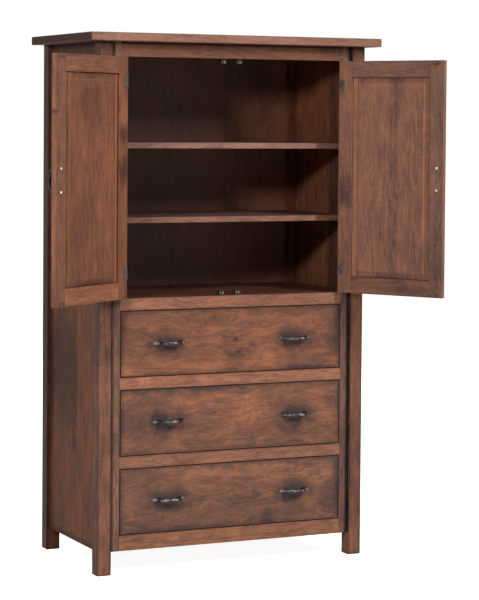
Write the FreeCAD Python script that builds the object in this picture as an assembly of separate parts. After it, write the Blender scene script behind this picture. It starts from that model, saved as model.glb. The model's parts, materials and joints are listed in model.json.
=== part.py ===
import FreeCAD, Part
import math
import os

"""A tv armoire: a post-and-panel case with an inset front frame, two inset doors over a shelved
compartment and three flush drawers. X runs to the right, Y to the back and Z up, in millimetres.

The case is laid out about the middle of its posts' footprint with the floor at Z = 0. The doors
stand open at rest. At the end everything is moved so that the origin lies on the floor under
the middle of the whole piece's bounding box.
"""

V = FreeCAD.Vector
X_AXIS = V(1, 0, 0)
Y_AXIS = V(0, 1, 0)
Z_AXIS = V(0, 0, 1)

# ---- Case ---------------------------------------------------------------------------------
CASE_WIDTH = 1003.0  # over the posts
CASE_DEPTH = 548.0  # over the posts
POST = 50.0  # side of the square posts
POST_EASE = 2.0  # chamfer on the posts' arrises
LEG_CLEARANCE = 78.0  # floor to the lowest rail and the side panels
TOP_THICKNESS = 29.0
TOP_SIDE_OVERHANG = 45.5
TOP_FRONT_OVERHANG = 40.0
TOP_EASE = 3.0  # rounding of the slab's front and side edges
SIDE_PANEL_THICKNESS = 10.0
SIDE_PANEL_SETBACK = 11.0  # from the posts' outer faces
PANEL_GROOVE = 8.0  # how far the side and back panels enter the posts
BACK_PANEL_THICKNESS = 6.0
REAR_RAIL_THICKNESS = 18.0
REAR_RAIL_HEIGHT = 50.0
REAR_TENON = 16.0
CLEAT = 20.0  # square cleats under the top and under the compartment floor
FLOOR_THICKNESS = 18.0
BOTTOM_PANEL_THICKNESS = 6.0

# ---- Front frame --------------------------------------------------------------------------
FRAME_SETBACK = 11.0  # behind the posts' front faces
FRAME_THICKNESS = 20.0
STILE_WIDTH = 33.0
BOTTOM_RAIL = 52.0
DRAWER_RAIL = 40.0
DECK_RAIL = 40.0
TOP_RAIL = 50.0
DRAWER_OPENINGS = (228.0, 228.0, 228.0)  # heights, from the lowest drawer up
DOOR_OPENING = 816.0
FRAME_TENON = 20.0
FRAME_TENON_THICKNESS = 8.0
FRAME_TENON_SHOULDER = 5.0

# ---- Shelves ------------------------------------------------------------------------------
SHELF_THICKNESS = 20.0
SHELF_SETBACK = 46.0  # behind the front posts
SHELF_SIDE_GAP = 1.0
SHELF_UNDERSIDES = (250.0, 506.0)  # above the compartment floor: lower, upper
SHELF_EASE = 1.5
PIN_RADIUS = 3.0
PIN_DEPTH = 7.0  # how far a shelf pin enters the side panel
PIN_TAB = (11.0, 14.0, 3.0)  # out from the panel, along it, and its thickness
PIN_FRONT_INSET = 45.0  # from the shelf's front edge
PIN_REAR_INSET = 70.0  # from its back edge

# ---- Drawers ------------------------------------------------------------------------------
DRAWER_FRONT_THICKNESS = 20.0
DRAWER_GAP = 1.5  # round each drawer front
FRONT_EASE = 2.0
DRAWER_STOP = 13.0  # depth of the stops between a closed drawer and the back panel
DRAWER_SIDE_THICKNESS = 14.0
DRAWER_SIDE_HEIGHT = 200.0
DRAWER_BACK_THICKNESS = 12.0
DRAWER_BOTTOM_THICKNESS = 6.0
DRAWER_BOTTOM_RISE = 12.0  # underside of the bottom above the sides' lower edges
BOTTOM_GROOVE = 7.0
RUNNING_CLEARANCE = 0.3  # under the drawer sides
GUIDE_CLEARANCE = 0.7  # beside the drawer sides
DOVETAIL_LAP = 6.0  # left in front of the half-blind dovetails
TAILS = 5  # on each side's front end
REAR_TAILS = 4
TAIL_SLOPE = 8.0  # degrees
TAIL_SHARE = 0.62  # of the pitch, at the narrow end of a tail
RUNNER_THICKNESS = 20.0
RUNNER_REACH = 28.0  # from the stile's edge to the runner's inner side
GUIDE_HEIGHT = 25.0

# ---- Doors --------------------------------------------------------------------------------
DOOR_THICKNESS = 20.0
DOOR_GAP = 2.0  # at the hinge side
DOOR_END_GAP = 1.5  # above and below
MEETING_GAP = 3.0  # between the closed doors
DOOR_STILE = 52.0
DOOR_RAIL = 57.0
DOOR_TENON = 30.0
DOOR_GROOVE_DEPTH = 10.0
DOOR_GROOVE_WIDTH = 6.0
STICKING = 3.0  # chamfer round the panel on the outer face
BACK_EASE = 1.0  # the same on the inner face
PANEL_FIELD_THICKNESS = 16.0
PANEL_BEVEL = 26.0  # width of the bevel round the raised field
PANEL_STEP = 1.5  # height of the step round the field
PANEL_FLOAT = 1.0  # room for the panel to move in its grooves
LEFT_DOOR_ANGLE = 145.0  # degrees from closed, as the piece stands
RIGHT_DOOR_ANGLE = 121.0  # degrees from closed, as the piece stands

# ---- Hinges -------------------------------------------------------------------------------
HINGE_HEIGHT = 40.0
HINGE_INSET = 85.0  # door's end to the middle of the hinge
LEAF_THICKNESS = 1.6
CASE_LEAF_DEPTH = 18.0
DOOR_LEAF_WRAP = 21.0  # the part on the door's inner face
KNUCKLE_RADIUS = 3.5
KNUCKLE_PROUD = 3.8  # pin axis in front of the frame's face
KNUCKLE_PLAY = 0.2
HINGE_PIN_RADIUS = 1.5
HINGE_PIN_CLEARANCE = 0.05

# ---- Pulls --------------------------------------------------------------------------------
PULL_LENGTH = 115.0
PULL_SCREW_CENTRES = 76.2
PULL_REACH = 27.8  # face of the drawer to the bar's outer side
PULL_BAR = 8.5  # square section of the bar
PULL_TWIST_LENGTH = 42.0
PULL_TWIST_ANGLE = 360.0  # degrees over its length
PULL_TWIST_STEPS = 24
PULL_FOOT_LENGTH = 27.0
PULL_FOOT_HALF_WIDTH = 6.5
# The leg's outer side as (in from the foot's tip, out from the wood).
PULL_LEG_OUTLINE = ((0.0, 1.2), (7.0, 2.6), (15.4, 9.2), (21.9, 18.9), (27.0, 25.6))
# The middle of its inner side as (in from the foot's inner end, out from the wood).
PULL_LEG_INSIDE = (2.5, 12.0)
# The foot's flank as (in from the foot's tip, out from the pull's axis).
PULL_FLANK = ((0.0, 1.6), (4.0, 5.5), (10.0, PULL_FOOT_HALF_WIDTH), (19.4, 5.0))
PULL_INSET = 24.5  # door's free edge to the pull's axis
PULL_SPREAD = 478.0  # between the two pulls of a drawer
SCREW_RADIUS = 2.0
SCREW_HOLE_CLEARANCE = 0.3
THREAD_CLEARANCE = 0.05
SCREW_ENGAGEMENT = 8.0
SCREW_END_CLEARANCE = 0.5
SCREW_HEAD_RADIUS = 4.2
SCREW_HEAD_HEIGHT = 2.4
SCREW_HEAD_ROUNDING = 1.4

# ---- Catches ------------------------------------------------------------------------------
CATCH_CENTRE = 30.0  # from the middle of the case
CATCH_WIDTH = 22.0
CATCH_DEPTH = 20.0
CATCH_HEIGHT = 13.0  # of the channel, about the rollers' middle
CATCH_WALL = 1.5
CATCH_FRONT_GAP = 1.0  # between the strike plate and the channel, closed
CATCH_END_GAP = 3.0  # from the door's end to the strike plate
ROLLER_RADIUS = 3.2
ROLLER_HEIGHT = 9.0
ROLLER_END_CLEARANCE = 0.3
ROLLER_SPACING = 10.5
ROLLER_SETBACK = 10.0  # rollers' axes behind the front frame
STRIKE_PLATE = (30.0, 1.5, 12.0)  # width, thickness, height
SPEAR = (3.0, 12.0, 8.0)  # thickness, reach, height
SPEAR_POINT = 2.0  # length of the spear's wedge

# ---- Levels and planes that follow ---------------------------------------------------------
HALF_WIDTH = CASE_WIDTH / 2
HALF_DEPTH = CASE_DEPTH / 2
POST_INNER_X = HALF_WIDTH - POST
POST_INNER_Y = HALF_DEPTH - POST
FRAME_FRONT = -HALF_DEPTH + FRAME_SETBACK
FRAME_BACK = FRAME_FRONT + FRAME_THICKNESS
OPENING_HALF = POST_INNER_X - STILE_WIDTH
PANEL_OUTER_X = HALF_WIDTH - SIDE_PANEL_SETBACK
PANEL_INNER_X = PANEL_OUTER_X - SIDE_PANEL_THICKNESS
BACK_PANEL_REAR = HALF_DEPTH - REAR_RAIL_THICKNESS
BACK_PANEL_FRONT = BACK_PANEL_REAR - BACK_PANEL_THICKNESS
DRAWER_REAR = BACK_PANEL_FRONT - DRAWER_STOP


def stack_of_openings():
    """Bottom level of each drawer opening, from the lowest up, and the deck rail's underside."""
    level = LEG_CLEARANCE + BOTTOM_RAIL
    bottoms = []
    for height in DRAWER_OPENINGS:
        bottoms.append(level)
        level += height + DRAWER_RAIL
    return bottoms, level - DRAWER_RAIL


DRAWER_LEVELS, DECK_UNDERSIDE = stack_of_openings()
DECK_LEVEL = DECK_UNDERSIDE + DECK_RAIL
DOOR_OPENING_TOP = DECK_LEVEL + DOOR_OPENING
POST_HEIGHT = DOOR_OPENING_TOP + TOP_RAIL
DOOR_BOTTOM = DECK_LEVEL + DOOR_END_GAP
DOOR_TOP = DOOR_OPENING_TOP - DOOR_END_GAP
DOOR_HINGE_X = -OPENING_HALF + DOOR_GAP  # the left door's hinge edge, closed
DOOR_FREE_X = -MEETING_GAP / 2
DOOR_BACK = FRAME_FRONT + DOOR_THICKNESS
PIVOT_X = -OPENING_HALF + DOOR_GAP / 2
PIVOT_Y = FRAME_FRONT - KNUCKLE_PROUD
SHELF_BACK = BACK_PANEL_FRONT - SHELF_SIDE_GAP
SHELF_FRONT = -POST_INNER_Y + SHELF_SETBACK

TOLERANCE = 1e-4  # lengths closer than this count as equal


# ---- Small helpers -------------------------------------------------------------------------
def block(x, y, z):
    """A box from three (low, high) pairs."""
    return Part.makeBox(x[1] - x[0], y[1] - y[0], z[1] - z[0], V(x[0], y[0], z[0]))


def prism(points, direction):
    """A closed polygon pushed along a vector."""
    corners = [V(*p) for p in points]
    return Part.Face(Part.makePolygon(corners + corners[:1])).extrude(V(*direction))


def rod(radius, start, end):
    """A round bar between two points."""
    along = V(*end) - V(*start)
    return Part.makeCylinder(radius, along.Length, V(*start), along)


def mirrored(shape):
    """The same piece on the other side of the case."""
    return shape.mirror(V(0, 0, 0), X_AXIS)


def edges_where(shape, test):
    """The straight edges of a shape whose two ends both pass a test."""
    return [
        e
        for e in shape.Edges
        if len(e.Vertexes) == 2 and all(test(v.Point) for v in e.Vertexes)
    ]


def is_near(a, b):
    """Whether two lengths are the same within rounding."""
    return abs(a - b) < TOLERANCE


def upright_edges(shape):
    """The edges that run along Z."""
    return [
        e
        for e in shape.Edges
        if len(e.Vertexes) == 2
        and is_near(e.Vertexes[0].X, e.Vertexes[1].X)
        and is_near(e.Vertexes[0].Y, e.Vertexes[1].Y)
    ]


# ---- Case ---------------------------------------------------------------------------------
def top_slab():
    """The top: rounded at the front and sides, square at the back."""
    x = HALF_WIDTH + TOP_SIDE_OVERHANG
    front = -HALF_DEPTH - TOP_FRONT_OVERHANG
    slab = block((-x, x), (front, HALF_DEPTH), (POST_HEIGHT, POST_HEIGHT + TOP_THICKNESS))
    eased = edges_where(slab, lambda p: is_near(p.y, front) or is_near(abs(p.x), x))
    rear = edges_where(slab, lambda p: is_near(p.y, HALF_DEPTH))
    eased = [e for e in eased if not any(e.isSame(r) for r in rear)]
    return slab.makeFillet(TOP_EASE, eased)


def side_panel():
    """The left side panel, let into grooves in the front and rear posts."""
    y = POST_INNER_Y + PANEL_GROOVE
    return block((-PANEL_OUTER_X, -PANEL_INNER_X), (-y, y), (LEG_CLEARANCE, POST_HEIGHT))


def back_panel():
    """The back panel, let into the rear posts, in front of the rear rails."""
    x = POST_INNER_X + PANEL_GROOVE
    return block((-x, x), (BACK_PANEL_FRONT, BACK_PANEL_REAR), (LEG_CLEARANCE, POST_HEIGHT))


def rear_rails():
    """Three equal rails behind the back panel, tenoned into the rear posts."""
    tenon_y = (BACK_PANEL_REAR + FRAME_TENON_SHOULDER, HALF_DEPTH - FRAME_TENON_SHOULDER)
    rails = []
    for low in (LEG_CLEARANCE, DECK_UNDERSIDE, POST_HEIGHT - REAR_RAIL_HEIGHT):
        z = (low, low + REAR_RAIL_HEIGHT)
        body = block((-POST_INNER_X, POST_INNER_X), (BACK_PANEL_REAR, HALF_DEPTH), z)
        reach = POST_INNER_X + REAR_TENON
        shouldered = (z[0] + FRAME_TENON_SHOULDER, z[1] - FRAME_TENON_SHOULDER)
        rails.append(body.fuse(block((-reach, reach), tenon_y, shouldered)).removeSplitter())
    return rails


def plain_post():
    """A front left post without its grooves."""
    x = (-HALF_WIDTH, -POST_INNER_X)
    post = block(x, (-HALF_DEPTH, -POST_INNER_Y), (0, POST_HEIGHT))
    feet = edges_where(post, lambda p: is_near(p.z, 0))
    return post.makeChamfer(POST_EASE, upright_edges(post) + feet)


def shelf(underside):
    """A shelf across the compartment, notched round the rear posts."""
    x = PANEL_INNER_X - SHELF_SIDE_GAP
    notch_x = POST_INNER_X - SHELF_SIDE_GAP
    notch_y = POST_INNER_Y - SHELF_SIDE_GAP
    z = DECK_LEVEL + underside
    outline = [
        (-x, SHELF_FRONT, z),
        (x, SHELF_FRONT, z),
        (x, notch_y, z),
        (notch_x, notch_y, z),
        (notch_x, SHELF_BACK, z),
        (-notch_x, SHELF_BACK, z),
        (-notch_x, notch_y, z),
        (-x, notch_y, z),
    ]
    board = prism(outline, (0, 0, SHELF_THICKNESS))
    return board.makeFillet(SHELF_EASE, edges_where(board, lambda p: is_near(p.y, SHELF_FRONT)))


def compartment_floor():
    """The floor behind the deck rail, notched round all four posts."""
    z = (DECK_LEVEL - FLOOR_THICKNESS, DECK_LEVEL)
    wide = block((-PANEL_INNER_X, PANEL_INNER_X), (-POST_INNER_Y, POST_INNER_Y), z)
    long = block((-POST_INNER_X, POST_INNER_X), (FRAME_BACK, BACK_PANEL_FRONT), z)
    return wide.fuse(long).removeSplitter()


def side_cleats():
    """Square cleats on the side panels, under the top and under the compartment floor."""
    x = (-PANEL_INNER_X, -PANEL_INNER_X + CLEAT)
    cleats = []
    for top in (POST_HEIGHT, DECK_LEVEL - FLOOR_THICKNESS):
        left = block(x, (-POST_INNER_Y, POST_INNER_Y), (top - CLEAT, top))
        cleats += [left, mirrored(left)]
    return cleats


def bottom_panel():
    """The thin panel under the lowest drawer, fixed up to its runners."""
    top = DRAWER_LEVELS[0] - RUNNER_THICKNESS
    return block(
        (-POST_INNER_X, POST_INNER_X),
        (FRAME_BACK, BACK_PANEL_FRONT),
        (top - BOTTOM_PANEL_THICKNESS, top),
    )


def shelf_pin(x_sign, y, underside):
    """A pin with a flat tab that carries the shelf."""
    out, along, thick = PIN_TAB
    inner = x_sign * PANEL_INNER_X
    tip = inner - x_sign * out
    tab = block(
        (min(inner, tip), max(inner, tip)),
        (y - along / 2, y + along / 2),
        (underside - thick, underside),
    )
    axis_z = underside - thick - PIN_RADIUS / 2
    peg = rod(PIN_RADIUS, (tip, y, axis_z), (inner + x_sign * PIN_DEPTH, y, axis_z))
    return tab.fuse(peg).removeSplitter()


def shelf_pins():
    """Four pins under each shelf."""
    pins = []
    for underside in SHELF_UNDERSIDES:
        for y in (SHELF_FRONT + PIN_FRONT_INSET, SHELF_BACK - PIN_REAR_INSET):
            for x_sign in (-1, 1):
                pins.append(shelf_pin(x_sign, y, DECK_LEVEL + underside))
    return pins


# ---- Front frame --------------------------------------------------------------------------
def frame_rail(low, high):
    """A rail of the front frame with a tenon at each end."""
    body = block((-OPENING_HALF, OPENING_HALF), (FRAME_FRONT, FRAME_BACK), (low, high))
    reach = OPENING_HALF + FRAME_TENON
    middle = (FRAME_FRONT + FRAME_BACK) / 2
    tenon = block(
        (-reach, reach),
        (middle - FRAME_TENON_THICKNESS / 2, middle + FRAME_TENON_THICKNESS / 2),
        (low + FRAME_TENON_SHOULDER, high - FRAME_TENON_SHOULDER),
    )
    return body.fuse(tenon).removeSplitter()


def frame_rails():
    """The five rails of the front frame by name."""
    names = ["drawer_rail_lower", "drawer_rail_upper", "deck_rail"]
    heights = [DRAWER_RAIL, DRAWER_RAIL, DECK_RAIL]
    rails = {"bottom_rail": frame_rail(LEG_CLEARANCE, DRAWER_LEVELS[0])}
    for name, level, opening, height in zip(names, DRAWER_LEVELS, DRAWER_OPENINGS, heights):
        rails[name] = frame_rail(level + opening, level + opening + height)
    rails["top_rail"] = frame_rail(DOOR_OPENING_TOP, POST_HEIGHT)
    return rails


def face_stile(rails, leaves):
    """The left stile of the front frame, mortised for the rails and the hinge leaves."""
    x = (-POST_INNER_X, -OPENING_HALF)
    stile = block(x, (FRAME_FRONT, FRAME_BACK), (LEG_CLEARANCE, POST_HEIGHT))
    return stile.cut(rails + leaves)


# ---- Drawers ------------------------------------------------------------------------------
def dovetails(count, x, y_narrow, y_wide, low, high):
    """Tails that widen from y_narrow to y_wide, evenly spaced from low to high."""
    pitch = (high - low) / count
    half = pitch * TAIL_SHARE / 2
    flare = abs(y_wide - y_narrow) * math.tan(math.radians(TAIL_SLOPE))
    tails = []
    for i in range(count):
        middle = low + pitch * (i + 0.5)
        outline = [
            (x[0], y_narrow, middle - half),
            (x[0], y_narrow, middle + half),
            (x[0], y_wide, middle + half + flare),
            (x[0], y_wide, middle - half - flare),
        ]
        tails.append(prism(outline, (x[1] - x[0], 0, 0)))
    return tails


def drawer_front(level, height, tails, bottom):
    """A flush drawer front: eased round its face, socketed, grooved and drilled."""
    x = OPENING_HALF - DRAWER_GAP
    back = FRAME_FRONT + DRAWER_FRONT_THICKNESS
    z = (level + DRAWER_GAP, level + height - DRAWER_GAP)
    front = block((-x, x), (FRAME_FRONT, back), z)
    front = front.makeFillet(FRONT_EASE, edges_where(front, lambda p: is_near(p.y, FRAME_FRONT)))
    holes = []
    for point in pull_screw_points(level + height / 2):
        hole = SCREW_RADIUS + SCREW_HOLE_CLEARANCE
        holes.append(rod(hole, (point.x, FRAME_FRONT, point.z), (point.x, back, point.z)))
    return front.cut(tails + [bottom] + holes)


def drawer(level, height):
    """One drawer's pieces by short name."""
    outer = OPENING_HALF - DRAWER_GAP
    inner = outer - DRAWER_SIDE_THICKNESS
    front_back = FRAME_FRONT + DRAWER_FRONT_THICKNESS
    rear_front = DRAWER_REAR - DRAWER_BACK_THICKNESS
    low = level + RUNNING_CLEARANCE
    high = low + DRAWER_SIDE_HEIGHT
    bottom_low = low + DRAWER_BOTTOM_RISE
    bottom_high = bottom_low + DRAWER_BOTTOM_THICKNESS

    groove = inner + BOTTOM_GROOVE
    bottom_y = (front_back - BOTTOM_GROOVE, DRAWER_REAR)
    bottom = block((-groove, groove), bottom_y, (bottom_low, bottom_high))

    left = (-outer, -inner)
    lap = FRAME_FRONT + DOVETAIL_LAP
    front_tails = dovetails(TAILS, left, front_back, lap, low + DRAWER_GAP, high)
    rear_tails = dovetails(REAR_TAILS, left, rear_front, DRAWER_REAR, bottom_high, high)
    both_rear = rear_tails + [mirrored(t) for t in rear_tails]
    back = block((-outer, outer), (rear_front, DRAWER_REAR), (bottom_high, high)).cut(both_rear)

    side = block(left, (front_back, DRAWER_REAR), (low, high)).cut([back, bottom])
    side = side.fuse([t.cut(bottom) for t in front_tails]).removeSplitter()
    sockets = front_tails + [mirrored(t) for t in front_tails]
    return {
        "front": [drawer_front(level, height, sockets, bottom)],
        "sides": [side, mirrored(side)],
        "back": [back],
        "bottom": [bottom],
        "pulls": drawer_pulls(level + height / 2),
    }


def drawer_runner(level):
    """The left runner of a drawer: a bearer with the guide and rear stop worked on it."""
    length = (FRAME_BACK, BACK_PANEL_FRONT)
    guide_x = -(OPENING_HALF - DRAWER_GAP + GUIDE_CLEARANCE)
    inner_x = -OPENING_HALF + RUNNER_REACH
    bearer = block((-POST_INNER_X, inner_x), length, (level - RUNNER_THICKNESS, level))
    guide = block((-POST_INNER_X, guide_x), length, (level, level + GUIDE_HEIGHT))
    stop_y = (DRAWER_REAR, BACK_PANEL_FRONT)
    stop = block((guide_x, inner_x), stop_y, (level, level + GUIDE_HEIGHT))
    return bearer.fuse([guide, stop]).removeSplitter()


def drawer_runners():
    """A pair of runners for each drawer."""
    left = [drawer_runner(level) for level in DRAWER_LEVELS]
    return left + [mirrored(r) for r in left]


# ---- Pulls --------------------------------------------------------------------------------
def through(points):
    """A smooth curve through a list of points."""
    curve = Part.BSplineCurve()
    curve.interpolate(points, False)
    return curve.toShape()


def pull_leg():
    """The pull's leg on the +X side: cut to its outline from the side and from the front."""
    half = PULL_LENGTH / 2
    foot_in = half - PULL_FOOT_LENGTH
    bar_end = PULL_TWIST_LENGTH / 2
    under = PULL_REACH - PULL_BAR
    screw = PULL_SCREW_CENTRES / 2

    outer_side = [V(half - inward, -out, 0) for inward, out in PULL_LEG_OUTLINE]
    outer_side.append(V(bar_end, -PULL_REACH, 0))
    inward, out = PULL_LEG_INSIDE
    inner_side = Part.Arc(V(bar_end, -under, 0), V(foot_in - inward, -out, 0), V(foot_in, 0, 0))
    side = Part.Wire(
        [
            through(outer_side),
            Part.makeLine(outer_side[-1], V(bar_end, -under, 0)),
            inner_side.toShape(),
            Part.makeLine(V(foot_in, 0, 0), V(half, 0, 0)),
            Part.makeLine(V(half, 0, 0), outer_side[0]),
        ]
    )
    profile = Part.Face(side).extrude(V(0, 0, 2 * PULL_FOOT_HALF_WIDTH))
    profile.translate(V(0, 0, -PULL_FOOT_HALF_WIDTH))

    flank = [V(half - inward, 0, out) for inward, out in PULL_FLANK]
    flank += [V(foot_in, 0, PULL_BAR / 2), V(bar_end, 0, PULL_BAR / 2)]
    opposite = [V(point.x, 0, -point.z) for point in flank]
    plan = Part.Wire(
        [
            through(flank),
            Part.makeLine(flank[-1], opposite[-1]),
            through(opposite),
            Part.makeLine(opposite[0], flank[0]),
        ]
    )
    leg = profile.common(Part.Face(plan).extrude(V(0, -PULL_REACH, 0)))
    depth = SCREW_ENGAGEMENT + SCREW_END_CLEARANCE
    return leg.cut(rod(SCREW_RADIUS + THREAD_CLEARANCE, (screw, 0, 0), (screw, -depth, 0)))


def twisted_bar():
    """The pull's square bar, twisted about its own axis between the two legs."""
    corner = PULL_BAR / math.sqrt(2)
    axis_y = -PULL_REACH + PULL_BAR / 2
    sections = []
    for step in range(PULL_TWIST_STEPS + 1):
        share = step / PULL_TWIST_STEPS
        x = PULL_TWIST_LENGTH * (share - 0.5)
        turns = [math.radians(PULL_TWIST_ANGLE * share + a) for a in (45, 135, 225, 315, 45)]
        ring = [V(x, axis_y + corner * math.cos(t), corner * math.sin(t)) for t in turns]
        sections.append(Part.makePolygon(ring))
    return Part.makeLoft(sections, True, True)


def pull():
    """A forged pull along X with its feet on the plane Y = 0 and its bar towards -Y."""
    leg = pull_leg()
    return twisted_bar().fuse([leg, mirrored(leg)])


def pull_screw(thickness):
    """A pan-head screw along Y: its head behind the wood, its shank through it into the pull."""
    shank = rod(SCREW_RADIUS, (0, thickness, 0), (0, -SCREW_ENGAGEMENT, 0))
    head = Part.makeCylinder(SCREW_HEAD_RADIUS, SCREW_HEAD_HEIGHT, V(0, thickness, 0), Y_AXIS)
    crown = thickness + SCREW_HEAD_HEIGHT
    rim = [edge for edge in head.Edges if is_near(edge.BoundBox.YMin, crown)]
    return head.makeFillet(SCREW_HEAD_ROUNDING, rim).fuse(shank).removeSplitter()


def pull_centres():
    """Middles of a drawer's two pulls along X."""
    return (-PULL_SPREAD / 2, PULL_SPREAD / 2)


def pull_screw_points(z):
    """Where a drawer's pull screws pass through its front."""
    half = PULL_SCREW_CENTRES / 2
    return [V(x + side * half, FRAME_FRONT, z) for x in pull_centres() for side in (-1, 1)]


def drawer_pulls(z):
    """A drawer's two pulls with their screws."""
    pieces = []
    for x in pull_centres():
        handle = pull()
        handle.translate(V(x, FRAME_FRONT, z))
        pieces.append(handle)
    for point in pull_screw_points(z):
        screw = pull_screw(DRAWER_FRONT_THICKNESS)
        screw.translate(point)
        pieces.append(screw)
    return pieces


# ---- Hinges -------------------------------------------------------------------------------
def hinge_levels():
    """Middles of the two hinges of a door."""
    return (DOOR_BOTTOM + HINGE_INSET, DOOR_TOP - HINGE_INSET)


def on_pivot(radius, low, high):
    """A round bar along the left door's pin axis."""
    return rod(radius, (PIVOT_X, PIVOT_Y, low), (PIVOT_X, PIVOT_Y, high))


def knuckle(low, high, leaf_x):
    """One knuckle with the strip that joins it to its leaf."""
    strip = block(leaf_x, (PIVOT_Y, FRAME_FRONT), (low, high))
    return on_pivot(KNUCKLE_RADIUS, low, high).fuse(strip)


def hinge_parts(middle):
    """A left hinge, closed: case leaf, door leaf and pin."""
    low = middle - HINGE_HEIGHT / 2
    high = middle + HINGE_HEIGHT / 2
    third = HINGE_HEIGHT / 3
    bore = on_pivot(HINGE_PIN_RADIUS + HINGE_PIN_CLEARANCE, low, high)

    case_x = (-OPENING_HALF - LEAF_THICKNESS, -OPENING_HALF)
    plate = block(case_x, (FRAME_FRONT, FRAME_FRONT + CASE_LEAF_DEPTH), (low, high))
    case_leaf = plate.fuse([knuckle(low, low + third, case_x), knuckle(high - third, high, case_x)])

    door_x = (DOOR_HINGE_X, DOOR_HINGE_X + LEAF_THICKNESS)
    wrap_x = (DOOR_HINGE_X, DOOR_HINGE_X + DOOR_LEAF_WRAP)
    edge = block(door_x, (FRAME_FRONT, DOOR_BACK + LEAF_THICKNESS), (low, high))
    wrap = block(wrap_x, (DOOR_BACK, DOOR_BACK + LEAF_THICKNESS), (low, high))
    middle_knuckle = knuckle(low + third + KNUCKLE_PLAY, high - third - KNUCKLE_PLAY, door_x)
    door_leaf = edge.fuse([wrap, middle_knuckle])

    pin = on_pivot(HINGE_PIN_RADIUS, low, high)
    case_leaf = case_leaf.cut(bore).removeSplitter()
    door_leaf = door_leaf.cut(bore).removeSplitter()
    return case_leaf, door_leaf, pin


# ---- Catches ------------------------------------------------------------------------------
def catch_levels():
    """Middles of the strike at the door's bottom and top, with the side the case lies on."""
    reach = CATCH_END_GAP + STRIKE_PLATE[2] / 2
    return ((DOOR_BOTTOM + reach, -1), (DOOR_TOP - reach, 1))


def strike(level):
    """The left door's plate with the spear that enters between the rollers, closed."""
    wide, thick, high = STRIKE_PLATE
    plate = block(
        (-CATCH_CENTRE - wide / 2, -CATCH_CENTRE + wide / 2),
        (DOOR_BACK, DOOR_BACK + thick),
        (level - high / 2, level + high / 2),
    )
    half, reach, tall = SPEAR[0] / 2, SPEAR[1], SPEAR[2]
    root = DOOR_BACK + thick
    low = level - tall / 2
    outline = [
        (-CATCH_CENTRE - half, root, low),
        (-CATCH_CENTRE + half, root, low),
        (-CATCH_CENTRE + half, root + reach - SPEAR_POINT, low),
        (-CATCH_CENTRE, root + reach, low),
        (-CATCH_CENTRE - half, root + reach - SPEAR_POINT, low),
    ]
    return plate.fuse(prism(outline, (0, 0, tall))).removeSplitter()


def catch_body(level, side):
    """A channel, open to the front, on the side of the case it is fixed to."""
    seat = DECK_LEVEL if side < 0 else DOOR_OPENING_TOP
    far = level - side * CATCH_HEIGHT / 2
    front = DOOR_BACK + STRIKE_PLATE[1] + CATCH_FRONT_GAP
    x = (-CATCH_CENTRE - CATCH_WIDTH / 2, -CATCH_CENTRE + CATCH_WIDTH / 2)
    y = (front, front + CATCH_DEPTH)
    room = ROLLER_HEIGHT / 2 + ROLLER_END_CLEARANCE
    hollow = block(
        (x[0] + CATCH_WALL, x[1] - CATCH_WALL),
        (y[0], y[1] - CATCH_WALL),
        (level - room, level + room),
    )
    body = block(x, y, (min(seat, far), max(seat, far))).cut(hollow)
    if side > 0:
        flange = block(x, (FRAME_BACK, y[1]), (seat, seat + CATCH_HEIGHT))
        body = body.fuse(flange).removeSplitter()
    return body


def catch_rollers(level):
    """The two rollers of one catch, on vertical axles."""
    y = FRAME_BACK + ROLLER_SETBACK
    ends = (level - ROLLER_HEIGHT / 2, level + ROLLER_HEIGHT / 2)
    rollers = []
    for side in (-1, 1):
        x = -CATCH_CENTRE + side * ROLLER_SPACING / 2
        rollers.append(rod(ROLLER_RADIUS, (x, y, ends[0]), (x, y, ends[1])))
    return rollers


# ---- Doors --------------------------------------------------------------------------------
def member_profile(width, inner_sign, origin):
    """Cross-section of a door member as (across, y) points.

    across runs from the outer edge at origin towards the panel; the inner edge has the sticking
    chamfer on the outer face, an eased arris on the inner face and the panel groove between.
    """
    middle = DOOR_THICKNESS / 2
    g0 = middle - DOOR_GROOVE_WIDTH / 2
    g1 = middle + DOOR_GROOVE_WIDTH / 2
    points = [
        (0, 0),
        (width - STICKING, 0),
        (width, STICKING),
        (width, g0),
        (width - DOOR_GROOVE_DEPTH, g0),
        (width - DOOR_GROOVE_DEPTH, g1),
        (width, g1),
        (width, DOOR_THICKNESS - BACK_EASE),
        (width - BACK_EASE, DOOR_THICKNESS),
        (0, DOOR_THICKNESS),
    ]
    return [(origin + inner_sign * a, FRAME_FRONT + y) for a, y in points]


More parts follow.
